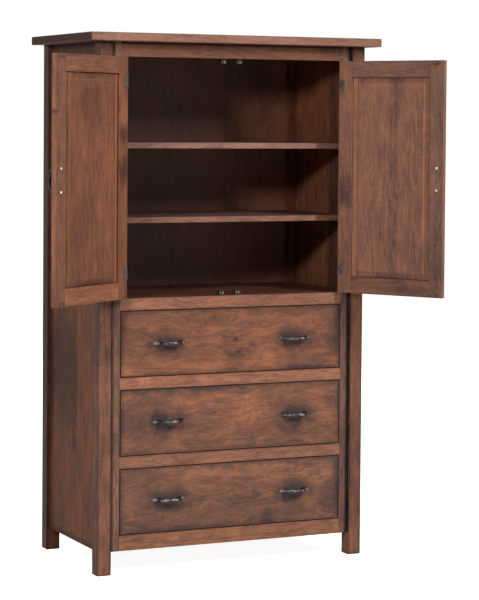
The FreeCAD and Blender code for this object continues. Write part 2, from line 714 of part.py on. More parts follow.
def raised_panel():
    """The panel: a tongue round its edge and a raised, bevelled field on both faces."""
    sight_x = (DOOR_HINGE_X + DOOR_STILE, DOOR_FREE_X - DOOR_STILE)
    sight_z = (DOOR_BOTTOM + DOOR_RAIL, DOOR_TOP - DOOR_RAIL)
    enter = DOOR_GROOVE_DEPTH - PANEL_FLOAT
    middle = FRAME_FRONT + DOOR_THICKNESS / 2
    tongue = DOOR_GROOVE_WIDTH / 2
    field = PANEL_FIELD_THICKNESS / 2
    plate = block(
        (sight_x[0] - enter, sight_x[1] + enter),
        (middle - tongue, middle + tongue),
        (sight_z[0] - enter, sight_z[1] + enter),
    )
    raised = block(
        (sight_x[0] + PANEL_BEVEL, sight_x[1] - PANEL_BEVEL),
        (middle - field, middle + field),
        (sight_z[0] + PANEL_BEVEL, sight_z[1] - PANEL_BEVEL),
    )
    bevels = []
    for face in (-1, 1):
        wires = []
        for inset, height in ((0, tongue), (PANEL_BEVEL, field - PANEL_STEP)):
            y = middle + face * height
            x0, x1 = sight_x[0] + inset, sight_x[1] - inset
            z0, z1 = sight_z[0] + inset, sight_z[1] - inset
            ring = [V(x0, y, z0), V(x1, y, z0), V(x1, y, z1), V(x0, y, z1), V(x0, y, z0)]
            wires.append(Part.makePolygon(ring))
        bevels.append(Part.makeLoft(wires, True, True))
    return plate.fuse([raised] + bevels).removeSplitter()


def door_stile(outer_x, sign):
    """A full-height door stile from its outer edge, before it is mortised."""
    outline = [(x, y, DOOR_BOTTOM) for x, y in member_profile(DOOR_STILE, sign, outer_x)]
    return prism(outline, (0, 0, DOOR_TOP - DOOR_BOTTOM))


def door_rail(outer_z, sign, stiles):
    """A door rail, coped over the stiles' sticking and tenoned into them."""
    inner = (DOOR_HINGE_X + DOOR_STILE, DOOR_FREE_X - DOOR_STILE)
    start = inner[0] - STICKING
    outline = [(start, y, z) for z, y in member_profile(DOOR_RAIL, sign, outer_z)]
    blank = prism(outline, (inner[1] - inner[0] + 2 * STICKING, 0, 0))
    middle = FRAME_FRONT + DOOR_THICKNESS / 2
    outer = outer_z + sign * (DOOR_RAIL - DOOR_GROOVE_DEPTH)
    shoulder = outer_z + sign * DOOR_GROOVE_DEPTH
    tenon = block(
        (inner[0] - DOOR_TENON, inner[1] + DOOR_TENON),
        (middle - DOOR_GROOVE_WIDTH / 2, middle + DOOR_GROOVE_WIDTH / 2),
        (min(outer, shoulder), max(outer, shoulder)),
    )
    return blank.cut(stiles).fuse(tenon).removeSplitter()


def door():
    """The left door's pieces, closed, by short name."""
    hinge_stile = door_stile(DOOR_HINGE_X, 1)
    lock_stile = door_stile(DOOR_FREE_X, -1)
    stiles = [hinge_stile, lock_stile]
    top = door_rail(DOOR_TOP, -1, stiles)
    bottom = door_rail(DOOR_BOTTOM, 1, stiles)
    leaves = [hinge_parts(level)[1] for level in hinge_levels()]

    handle = pull()
    screws = [pull_screw(DOOR_THICKNESS) for _ in range(2)]
    middle = (DOOR_BOTTOM + DOOR_TOP) / 2
    axis_x = DOOR_FREE_X - PULL_INSET
    handle.rotate(V(0, 0, 0), Y_AXIS, 90)
    handle.translate(V(axis_x, FRAME_FRONT, middle))
    holes = []
    for screw, side in zip(screws, (-1, 1)):
        z = middle + side * PULL_SCREW_CENTRES / 2
        screw.translate(V(axis_x, FRAME_FRONT, z))
        hole = SCREW_RADIUS + SCREW_HOLE_CLEARANCE
        holes.append(rod(hole, (axis_x, FRAME_FRONT, z), (axis_x, DOOR_BACK, z)))
    return {
        "hinge_stile": [hinge_stile.cut([top, bottom] + leaves)],
        "lock_stile": [lock_stile.cut([top, bottom] + holes)],
        "top_rail": [top],
        "bottom_rail": [bottom],
        "panel": [raised_panel()],
        "pull": [handle],
        "pull_screws": screws,
        "hinge_leaves": leaves,
        "strikes": [strike(level) for level, _ in catch_levels()],
    }


def swung(shape, side, degrees):
    """A left door piece opened about its pin; the right door's is its reflection."""
    opened = shape.copy()
    opened.rotate(V(PIVOT_X, PIVOT_Y, 0), Z_AXIS, -degrees)
    return opened if side == "left" else mirrored(opened)


# ---- Assembly -----------------------------------------------------------------------------
def case_nodes():
    """Every piece of the case, by node name."""
    nodes = {"top_slab": [top_slab()]}
    panel = side_panel()
    rear = rear_rails()
    back = back_panel()
    front_post = plain_post().cut(panel)
    rear_post = plain_post().mirror(V(0, 0, 0), Y_AXIS).cut([panel, back] + rear)
    nodes["post_front_left"] = [front_post]
    nodes["post_front_right"] = [mirrored(front_post)]
    nodes["post_rear_left"] = [rear_post]
    nodes["post_rear_right"] = [mirrored(rear_post)]

    rails = frame_rails()
    hinges = [hinge_parts(level) for level in hinge_levels()]
    case_leaves = [case_leaf for case_leaf, _, _ in hinges]
    stile = face_stile(list(rails.values()), case_leaves)
    nodes["face_stile_left"] = [stile]
    nodes["face_stile_right"] = [mirrored(stile)]
    for name, rail in rails.items():
        nodes[name] = [rail]

    pins = shelf_pins()
    drilled = panel.cut(pins)
    nodes["side_panel_left"] = [drilled]
    nodes["side_panel_right"] = [mirrored(drilled)]
    nodes["back_panel"] = [back]
    nodes["rear_rails"] = rear
    nodes["compartment_floor"] = [compartment_floor()]
    nodes["side_cleats"] = side_cleats()
    nodes["bottom_panel"] = [bottom_panel()]
    for name, underside in zip(("shelf_lower", "shelf_upper"), SHELF_UNDERSIDES):
        nodes[name] = [shelf(underside)]
    nodes["shelf_pins"] = pins
    nodes["drawer_runners"] = drawer_runners()

    metal = case_leaves + [pin for _, _, pin in hinges]
    nodes["hinge_case_leaves"] = metal + [mirrored(m) for m in metal]
    bodies = [catch_body(level, side) for level, side in catch_levels()]
    rollers = [r for level, _ in catch_levels() for r in catch_rollers(level)]
    nodes["catch_bodies"] = bodies + [mirrored(b) for b in bodies]
    nodes["catch_rollers"] = rollers + [mirrored(r) for r in rollers]
    return nodes


def door_nodes():
    """Both doors' pieces, by node name, standing open."""
    nodes = {}
    closed = door()
    for side, angle in (("left", LEFT_DOOR_ANGLE), ("right", RIGHT_DOOR_ANGLE)):
        for name, pieces in closed.items():
            nodes[f"door_{side}_{name}"] = [swung(p, side, angle) for p in pieces]
    return nodes


def drawer_nodes():
    """The drawers' pieces, by node name, numbered from the top."""
    nodes = {}
    count = len(DRAWER_OPENINGS)
    for index, (level, height) in enumerate(zip(DRAWER_LEVELS, DRAWER_OPENINGS)):
        for name, pieces in drawer(level, height).items():
            nodes[f"drawer_{count - index}_{name}"] = pieces
    return nodes


def origin_under_the_middle(nodes):
    """The move that brings the middle of the bounding box's underside to the origin."""
    boxes = [piece.optimalBoundingBox(False) for pieces in nodes.values() for piece in pieces]
    middle_x = (min(b.XMin for b in boxes) + max(b.XMax for b in boxes)) / 2
    middle_y = (min(b.YMin for b in boxes) + max(b.YMax for b in boxes)) / 2
    return V(-middle_x, -middle_y, 0)


def build():
    """Makes every node and writes one STEP file for each."""
    nodes = {**case_nodes(), **door_nodes(), **drawer_nodes()}
    move = origin_under_the_middle(nodes)
    os.makedirs("parts", exist_ok=True)
    wholes = {}
    for name, pieces in nodes.items():
        whole = pieces[0] if len(pieces) == 1 else Part.makeCompound(pieces)
        whole.translate(move)
        whole.exportStep(os.path.join("parts", f"{name}.step"))
        wholes[name] = whole
    print(f"{len(nodes)} nodes, moved by {move.x:.3f}, {move.y:.3f}")
    return wholes, move


build()
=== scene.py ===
import json
import logging
import math
from dataclasses import dataclass, replace
from enum import Enum
from typing import Callable, Sequence

import bpy
import numpy as np
from mathutils import Matrix, Vector

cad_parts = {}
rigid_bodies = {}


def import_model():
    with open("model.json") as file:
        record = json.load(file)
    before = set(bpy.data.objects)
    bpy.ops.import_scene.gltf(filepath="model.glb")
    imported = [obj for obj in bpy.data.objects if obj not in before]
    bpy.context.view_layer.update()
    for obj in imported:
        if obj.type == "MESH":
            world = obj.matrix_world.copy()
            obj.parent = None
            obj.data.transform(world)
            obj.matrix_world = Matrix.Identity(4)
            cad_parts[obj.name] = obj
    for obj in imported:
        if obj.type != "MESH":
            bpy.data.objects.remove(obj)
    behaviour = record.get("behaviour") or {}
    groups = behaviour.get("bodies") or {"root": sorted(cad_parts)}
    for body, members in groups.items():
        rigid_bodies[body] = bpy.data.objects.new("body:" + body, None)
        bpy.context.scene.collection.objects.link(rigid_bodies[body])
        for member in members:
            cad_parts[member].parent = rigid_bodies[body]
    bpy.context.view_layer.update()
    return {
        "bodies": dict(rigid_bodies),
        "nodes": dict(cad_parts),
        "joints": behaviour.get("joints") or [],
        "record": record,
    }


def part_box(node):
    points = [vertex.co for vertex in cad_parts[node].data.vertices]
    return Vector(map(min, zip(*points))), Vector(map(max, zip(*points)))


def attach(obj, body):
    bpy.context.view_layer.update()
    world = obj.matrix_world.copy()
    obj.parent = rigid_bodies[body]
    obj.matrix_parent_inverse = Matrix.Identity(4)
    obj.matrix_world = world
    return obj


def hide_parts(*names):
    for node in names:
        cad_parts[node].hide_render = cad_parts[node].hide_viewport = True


"""A tv armoire dressed in hand-burnished brown stain, with forged twisted pulls.

All lengths are in metres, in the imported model's own frame: X to the right, Y to the back and
Z up, with the floor at Z = 0. A door's boards are finished in the place they have when the
door is closed, so their grain runs true to the board however far the door stands open.
"""

LOG = logging.getLogger("armoire")

Colour = tuple[float, float, float]
Socket = bpy.types.NodeSocket
Sockets = bpy.types.bpy_prop_collection


def tint(red: int, green: int, blue: int) -> Colour:
    """Turns a colour written as 0 to 255 display values into linear light.

    Args:
        red: The red value.
        green: The green value.
        blue: The blue value.

    Returns:
        The linear red, green and blue.
    """
    shown = np.array([red, green, blue]) / 255.0
    linear = np.where(shown <= 0.04045, shown / 12.92, ((shown + 0.055) / 1.055) ** 2.4)
    return (float(linear[0]), float(linear[1]), float(linear[2]))


class Grain(Enum):
    """Which way a board's grain runs, as the turn that brings it to the X axis."""

    ALONG_X = (0.0, 0.0, 0.0)
    ALONG_Y = (0.0, 0.0, -math.pi / 2)
    UPRIGHT = (0.0, math.pi / 2, 0.0)


class Form(Enum):
    """The form of a mark: a soft ragged oval, a strip with straight edges, or a swirl."""

    OVAL = "oval"
    STRIP = "strip"
    SWIRL = "swirl"


@dataclass(frozen=True)
class Stain:
    """A stained wood finish.

    Attributes:
        light: The colour of the palest wood.
        middle: The colour of most of the surface.
        dark: The colour of the stain where the wood drinks it.
        glaze: The colour of the burnished glaze, which the marks' painted shade also uses.
        blotch: How strongly the stain clouds.
        figure: How strongly the growth rings show.
        curl: How strongly the cross ripple shows.
        streak: How strongly the fine fibres show.
        gloss: Roughness of the film.
        sheen: How much the film mirrors, as the shader's specular level.
        wave: How far the grain wanders across the board.
    """

    light: Colour
    middle: Colour
    dark: Colour
    glaze: Colour
    blotch: float = 0.55
    figure: float = 0.16
    curl: float = 0.12
    streak: float = 0.3
    gloss: float = 0.4
    sheen: float = 0.015
    wave: float = 0.04

    def shaded(self, shade: Colour) -> "Stain":
        """Scales the stain's colours, as one board takes it differently from the next.

        Args:
            shade: The red, green and blue factors.

        Returns:
            The new stain.
        """
        parts = {
            part: tuple(float(v) for v in np.array(getattr(self, part)) * np.array(shade))
            for part in STAIN_COLOURS.values()
        }
        return replace(self, **parts)


@dataclass(frozen=True)
class MetalFinish:
    """A metal surface.

    Attributes:
        base: The colour of most of it.
        worn: The colour of its rubbed spots.
        roughness: How rough it is between the marks.
        mark_scale: The marks' scale, larger for finer ones.
        mark_depth: How deep the marks are.
        metallic: 1 for bare metal, less where a patina covers it.
    """

    base: Colour
    worn: Colour
    roughness: float
    mark_scale: float
    mark_depth: float
    metallic: float = 1.0


@dataclass(frozen=True)
class Finishes:
    """The armoire's finishes.

    Attributes:
        case: The posts, side panels, rear rails and shelves.
        frame: The front frame.
        top: The top.
        drawer: The drawers' fronts.
        door: The doors.
        inner: The back and the other inner boards, darker than the case's stain, partly as painted
            shade.
        box: The pale wood of the drawer boxes and runners.
        iron: The drawers' pulls.
        shaded_iron: The doors' pulls, darker than the drawers' as painted shade.
        hinge: The hinges and their screws.
        bright: The pulls' screws and the shelf pins.
        plate: The catches' bodies.
        strike: The doors' strikes.
        nylon: The catches' rollers.
    """

    case: Stain = Stain(
        tint(164, 108, 80), tint(134, 90, 71), tint(94, 66, 56), tint(46, 34, 31),
        blotch=0.7, figure=0.1, streak=0.4,
    )
    frame: Stain = Stain(
        tint(180, 124, 96), tint(150, 103, 82), tint(110, 77, 65), tint(54, 42, 39),
        blotch=0.6, figure=0.1, streak=0.5, wave=0.06,
    )
    top: Stain = Stain(
        tint(153, 109, 91), tint(126, 91, 77), tint(60, 39, 30), tint(56, 42, 38),
        blotch=0.3, streak=0.4,
    )
    drawer: Stain = Stain(
        tint(166, 110, 79), tint(130, 88, 69), tint(92, 70, 62), tint(72, 60, 58),
        blotch=0.8, figure=0.12, streak=0.36, wave=0.1,
    )
    door: Stain = Stain(
        tint(168, 110, 80), tint(136, 91, 72), tint(96, 68, 60), tint(70, 52, 48),
        blotch=0.5, figure=0.15, streak=0.42, wave=0.05,
    )
    inner: Stain = Stain(
        tint(130, 82, 60), tint(106, 67, 51), tint(76, 50, 41), tint(50, 36, 32),
        blotch=0.5, figure=0.1, sheen=0.18, wave=0.03,
    )
    box: Stain = Stain(
        tint(226, 196, 150), tint(212, 180, 134), tint(188, 152, 108), tint(150, 112, 76),
        blotch=0.3, figure=0.2, streak=0.25,
    )
    iron: MetalFinish = MetalFinish(tint(58, 56, 58), tint(118, 116, 116), 0.2, 240.0, 0.0002)
    # The doors' pulls, made darker as painted shade.
    shaded_iron: MetalFinish = MetalFinish(tint(30, 29, 30), tint(66, 64, 64), 0.3, 240.0, 0.0002)
    hinge: MetalFinish = MetalFinish(
        tint(70, 62, 58), tint(96, 86, 80), 0.5, 300.0, 0.00005, metallic=0.35
    )
    bright: MetalFinish = MetalFinish(
        tint(214, 210, 206), tint(238, 236, 232), 0.24, 400.0, 0.00003
    )
    plate: MetalFinish = MetalFinish(
        tint(40, 32, 28), tint(66, 55, 49), 0.45, 400.0, 0.00003, metallic=0.3
    )
    strike: MetalFinish = MetalFinish(
        tint(70, 50, 41), tint(104, 82, 70), 0.45, 400.0, 0.00003, metallic=0.2
    )
    nylon: MetalFinish = MetalFinish(
        tint(150, 142, 132), tint(176, 168, 158), 0.4, 300.0, 0.00003, metallic=0.0
    )


@dataclass(frozen=True)
class Piece:
    """A box with its sides along the axes, such as a board's.

    Attributes:
        low: Its lowest corner.
        high: Its highest corner.
    """

    low: Vector
    high: Vector

    @classmethod
    def of(cls, node: str) -> "Piece":
        """The resting box of a CAD node."""
        low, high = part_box(node)
        return cls(low, high)

    @property
    def centre(self) -> Vector:
        """The middle of the box."""
        return (self.low + self.high) / 2

    @property
    def thin(self) -> int:
        """The axis across the board's thickness."""
        return int(np.argmin(np.array(self.high - self.low)))

    def ends(self, height: float) -> tuple[float, float]:
        """The middle heights of two things of one height at the box's two ends."""
        return self.low.z + height / 2, self.high.z - height / 2


@dataclass(frozen=True)
class Mark:
    """A patch where the board is paler, darker or more heavily glazed.

    Attributes:
        offset: Its middle, from the middle of the board.
        reach: Half its size along each axis.
        lift: Paler above 0, darker below.
        glaze: How much dark glaze it adds; on some boards this is painted shade.
        soft: For an oval the share of its radius that fades, for a strip the fading width, for
            a swirl the share of its radius from ring to ring.
        form: Oval, strip or swirl.
    """

    offset: tuple[float, float, float]
    reach: tuple[float, float, float]
    lift: float = 0.0
    glaze: float = 0.0
    soft: float = 0.85
    form: Form = Form.OVAL


# A reach that passes every board, and the fading width of a clean edge.
PAST = 9.0
CRISP = 0.0016


def band(axis: int, middle: float, half: float, lift: float = 0.0, glaze: float = 0.0) -> Mark:
    """A soft band that runs the whole board.

    Args:
        axis: The axis across the band, 0 for X to 2 for Z.
        middle: The band's middle on it, from the middle of the board.
        half: Half its width.
        lift: Paler above 0, darker below.
        glaze: How much dark glaze it adds; on some boards this is painted shade.

    Returns:
        The mark.
    """
    offset, reach = [0.0] * 3, [PAST] * 3
    offset[axis], reach[axis] = middle, half
    return Mark(tuple(offset), tuple(reach), lift, glaze)


def strip(
    axis: int,
    middle: float,
    half: float,
    lift: float = 0.0,
    glaze: float = 0.0,
    soft: float = CRISP,
) -> Mark:
    """A strip that runs the whole board between two straight edges.

    Args:
        axis: The axis across the strip, 0 for X to 2 for Z.
        middle: The strip's middle on it, from the middle of the board.
        half: Half its width.
        lift: Paler above 0, darker below.
        glaze: How much dark glaze it adds; on some boards this is painted shade.
        soft: The width in which each edge fades.

    Returns:
        The mark.
    """
    return replace(band(axis, middle, half, lift, glaze), soft=soft, form=Form.STRIP)


def patches(deep: float, *rows: Sequence[float]) -> tuple[Mark, ...]:
    """Makes soft patches on a board that faces the front.

    Args:
        deep: Half the patches' size through the board.
        *rows: For each patch its middle in X and Z, half its width, half its height, its lift,
            its glaze and, for a swirl, the share of its radius from ring to ring.

    Returns:
        The marks.
    """
    made = []
    for x, z, wide, high, lift, glaze, *rings in rows:
        mark = Mark((x, 0.0, z), (wide, deep, high), lift, glaze)
        made.append(replace(mark, soft=rings[0], form=Form.SWIRL) if rings else mark)
    return tuple(made)


@dataclass(frozen=True)
class Board:
    """One board: how its grain lies, how its stain differs and what its surface shows.

    Attributes:
        node: The CAD node.
        grain: Which way the grain runs.
        seed: A number that gives the board its own pattern.
        shade: How its stain differs from the finish's.
        closed: Its box in its closed place, or None where that is its resting box.
        turned: The turn that brings it from its resting place to its closed place, if any.
        boards: The axis across glued boards and their width, or None for one board.
        glaze_width: How far the burnished glaze reaches in from the edges.
        glaze_depth: How dark the glaze is at the edges.
        hidden: How much of the board's margin its neighbours hide.
        crevice_shade: How dark the painted shade line is along the margin's edge, in the gap round
            it.
        crevice_shade_width: How far that painted shade line reaches.
        arris: Distance from the margin's edge to a painted highlight line on the arris, or 0 for
            none.
        marks: The patches that this board has, giving tone, figure and glaze, and painted light and
            shade.
        end_dark: How much darker the end grain is.
    """

    node: str
    grain: Grain
    seed: float
    shade: Colour = (1.0, 1.0, 1.0)
    closed: Piece | None = None
    turned: Matrix | None = None
    boards: tuple[int, float] | None = None
    glaze_width: float = 0.012
    glaze_depth: float = 0.5
    hidden: float = 0.0
    crevice_shade: float = 0.0
    crevice_shade_width: float = 0.003
    arris: float = 0.0
    marks: Sequence[Mark] = ()
    end_dark: float = 0.5


@dataclass(frozen=True)
class Noise:
    """Smooth noise, which can be drawn out along the grain.

    Attributes:
        scale: Its scale, larger for finer noise.
        detail: Its octaves.
        rough: The strength of each finer octave.
        along: Its scale along the grain, below 1 to draw it out.
        across: Its scale across the grain.
    """

    scale: float
    detail: float = 3.0
    rough: float = 0.5
    along: float = 1.0
    across: float = 1.0


@dataclass(frozen=True)
class Pattern:
    """Noises added up by their weights and stretched to run from 0 to 1.

    Attributes:
        low: The sum that gives 0.
        high: The sum that gives 1.
        noises: Each weight with its noise.
    """

    low: float
    high: float
    noises: tuple[tuple[float, Noise], ...]


class Tree:
    """Adds nodes to one node tree with plain calls."""

    def __init__(self, tree: bpy.types.NodeTree) -> None:
        """Keeps the tree that the calls add to."""
        self.tree = tree

    def put(self, socket: Socket, value: object) -> None:
        """Links a socket to another, or sets it to a plain value."""
        if isinstance(value, bpy.types.NodeSocket):
            self.tree.links.new(value, socket)
        elif isinstance(value, (tuple, list, Vector)) and socket.type == "RGBA":
            socket.default_value = (*value, 1.0) if len(value) == 3 else value
        else:
            socket.default_value = value

    def fill(self, sockets: Sockets, values: dict[str, object]) -> None:
        """Links or sets sockets by their names."""
        for name, value in values.items():
            self.put(sockets[name], value)

    def node(self, kind: str, *values: object, **settings: object) -> bpy.types.Node:
        """Adds a node.

        Args:
            kind: The node's type name.
            *values: What its first inputs take.
            **settings: Properties to set on it.

        Returns:
            The new node.
        """
        made = self.tree.nodes.new(kind)
        for name, value in settings.items():
            setattr(made, name, value)
        for socket, value in zip(made.inputs, values):
            self.put(socket, value)
        return made

    def math(self, operation: str, *values: object) -> Socket:
        """Adds a Math node and gives its value."""
        return self.node("ShaderNodeMath", *values, operation=operation).outputs[0]

    def vector(self, operation: str, *values: object) -> Socket:
        """Adds a Vector Math node and gives its vector."""
        return self.node("ShaderNodeVectorMath", *values, operation=operation).outputs["Vector"]

    def length(self, value: Socket) -> Socket:
        """Gives a vector's length."""
        return self.node("ShaderNodeVectorMath", value, operation="LENGTH").outputs["Value"]

    def parts(self, value: Socket) -> tuple[Socket, Socket, Socket]:
        """Takes a vector apart."""
        return tuple(self.node("ShaderNodeSeparateXYZ", value).outputs)

    def total(self, base: object, *terms: tuple[object, object]) -> Socket:
        """Adds to a base the product of each pair."""
        for value, factor in terms:
            base = self.math("MULTIPLY_ADD", value, factor, base)
        return base

    def turned(self, value: Socket, turn: object, move: object = (0, 0, 0)) -> Socket:
        """Turns a vector about the origin, then moves it."""
        return self.node("ShaderNodeMapping", value, move, turn).outputs[0]

    def smooth(self, value: Socket, low: object, high: object) -> Socket:
        """Runs a value smoothly from 0 at low to 1 at high."""
        made = self.node("ShaderNodeMapRange", value, low, high, interpolation_type="SMOOTHSTEP")
        return made.outputs["Result"]

    def fade(self, value: Socket, low: object, high: object) -> Socket:
        """Runs a value smoothly from 1 at low to 0 at high."""
        return self.math("SUBTRACT", 1.0, self.smooth(value, low, high))

    def mix(self, share: object, first: object, second: object) -> Socket:
        """Mixes two colours by a share, which is held between 0 and 1."""
        made = self.node("ShaderNodeMix", data_type="RGBA", clamp_factor=True)
        for number, value in ((0, share), (6, first), (7, second)):
            self.put(made.inputs[number], value)
        return made.outputs[2]

    def noise(self, place: Socket, kind: Noise, output: str = "Fac") -> Socket:
        """Adds noise at a place.

        Args:
            place: The place, whose X runs along the grain.
            kind: The noise.
            output: Fac for its value, Color for three of them.

        Returns:
            The noise.
        """
        if (kind.along, kind.across) != (1.0, 1.0):
            place = self.vector("MULTIPLY", place, (kind.along, kind.across, kind.across))
        made = self.node("ShaderNodeTexNoise", place)
        settings = {"Scale": kind.scale, "Detail": kind.detail, "Roughness": kind.rough}
        self.fill(made.inputs, settings)
        return made.outputs[output]

    def pattern(self, place: Socket, kind: Pattern) -> Socket:
        """Adds a pattern at a place and gives its value."""
        noises = [(weight, self.noise(place, noise)) for weight, noise in kind.noises]
        weight, value = noises[0]
        base = self.math("MULTIPLY", value, weight) if len(noises) > 1 else value
        added = self.total(base, *((value, weight) for weight, value in noises[1:]))
        return self.smooth(added, kind.low, kind.high)

    def group(self, made: bpy.types.NodeTree, **inputs: object) -> Sockets:
        """Places a node group, fills its inputs and gives its outputs."""
        placed = self.node("ShaderNodeGroup", node_tree=made)
        self.fill(placed.inputs, inputs)
        return placed.outputs


def new_group(
    name: str, inputs: dict[str, str], outputs: dict[str, str]
) -> tuple[bpy.types.NodeTree, Tree, Sockets, Sockets]:
    """Makes an empty shader node group with its sockets.

    Args:
        name: The group's name.
        inputs: Input names and their kinds: Float, Vector or Color.
        outputs: Output names and their kinds.

    Returns:
        The group, a Tree to add to it, what it is given and what it gives out.
    """
    made = bpy.data.node_groups.new(name, "ShaderNodeTree")
    for direction, sockets in (("INPUT", inputs), ("OUTPUT", outputs)):
        for title, kind in sockets.items():
            made.interface.new_socket(title, in_out=direction, socket_type=f"NodeSocket{kind}")
    tree = Tree(made)
    given, out = tree.node("NodeGroupInput"), tree.node("NodeGroupOutput")
    return made, tree, given.outputs, out.inputs


GRAIN_PARTS = ("Rings", "Fibre", "Cloud", "Curl", "Pores")

# How far a seed of 1 moves the grain along each axis.
SEED_STEP = (1.71, 0.37, 0.13)

# The stain group's inputs and the parts of a Stain that fill them.
STAIN_COLOURS = {"Light": "light", "Middle": "middle", "Dark": "dark", "Glaze": "glaze"}
STAIN_STRENGTHS = {
    "Blotch": "blotch", "Figure": "figure", "Ripple": "curl", "Streak": "streak", "Gloss": "gloss",
}
STAIN_PARTS = {**STAIN_COLOURS, **STAIN_STRENGTHS}

# The wandering of the grain, and the ragged limits of the margin, the ovals and the swirls.
WANDER = Noise(11.0, 2.0, along=0.6)
MARGIN = Noise(17.0, 4.0, 0.6)
OVAL_RIM = Noise(22.0, rough=0.6)
SWIRL_RIM = Noise(20.0)

# The growth rings: their spacing, how far below the face their heart lies and how far it leans
# in Y and Z for each metre of X, how far each noise bends them, and the part of each turn that
# is dark.
RING_SPACING = 0.0105
HEART_DEPTH = 0.035
HEART_LEAN = (0.030, 0.055)
RING_BENDS = ((0.09, Noise(5.0, 2.0, along=0.35)), (0.012, Noise(27.0, along=0.2)))
RING_TURN = (-0.1, 1.0)

PATTERNS = {
    "Shown": Pattern(0.30, 0.62, ((1.0, Noise(9.0, 1.0, along=0.5)),)),
    "Fibre": Pattern(
        0.39, 0.61, ((0.65, Noise(165.0, 4.0, 0.6, 0.05)), (0.35, Noise(640.0, 3.0, 0.6, 0.025)))
    ),
    "Cloud": Pattern(
        0.37,
        0.63,
        (
            (0.3, Noise(9.0, 2.0, along=0.4)),
            (0.34, Noise(34.0, 4.0, 0.65, 0.4)),
            (0.36, Noise(60.0, 4.0, 0.6, 0.08)),
        ),
    ),
    "Ripple": Pattern(0.38, 0.62, ((1.0, Noise(44.0, 2.0, 0.55, 2.0, 0.5)),)),
    "Rippled": Pattern(0.42, 0.62, ((1.0, Noise(4.6, 1.0)),)),
    "Pores": Pattern(0.66, 0.74, ((1.0, Noise(900.0, 1.0, along=0.07)),)),
}


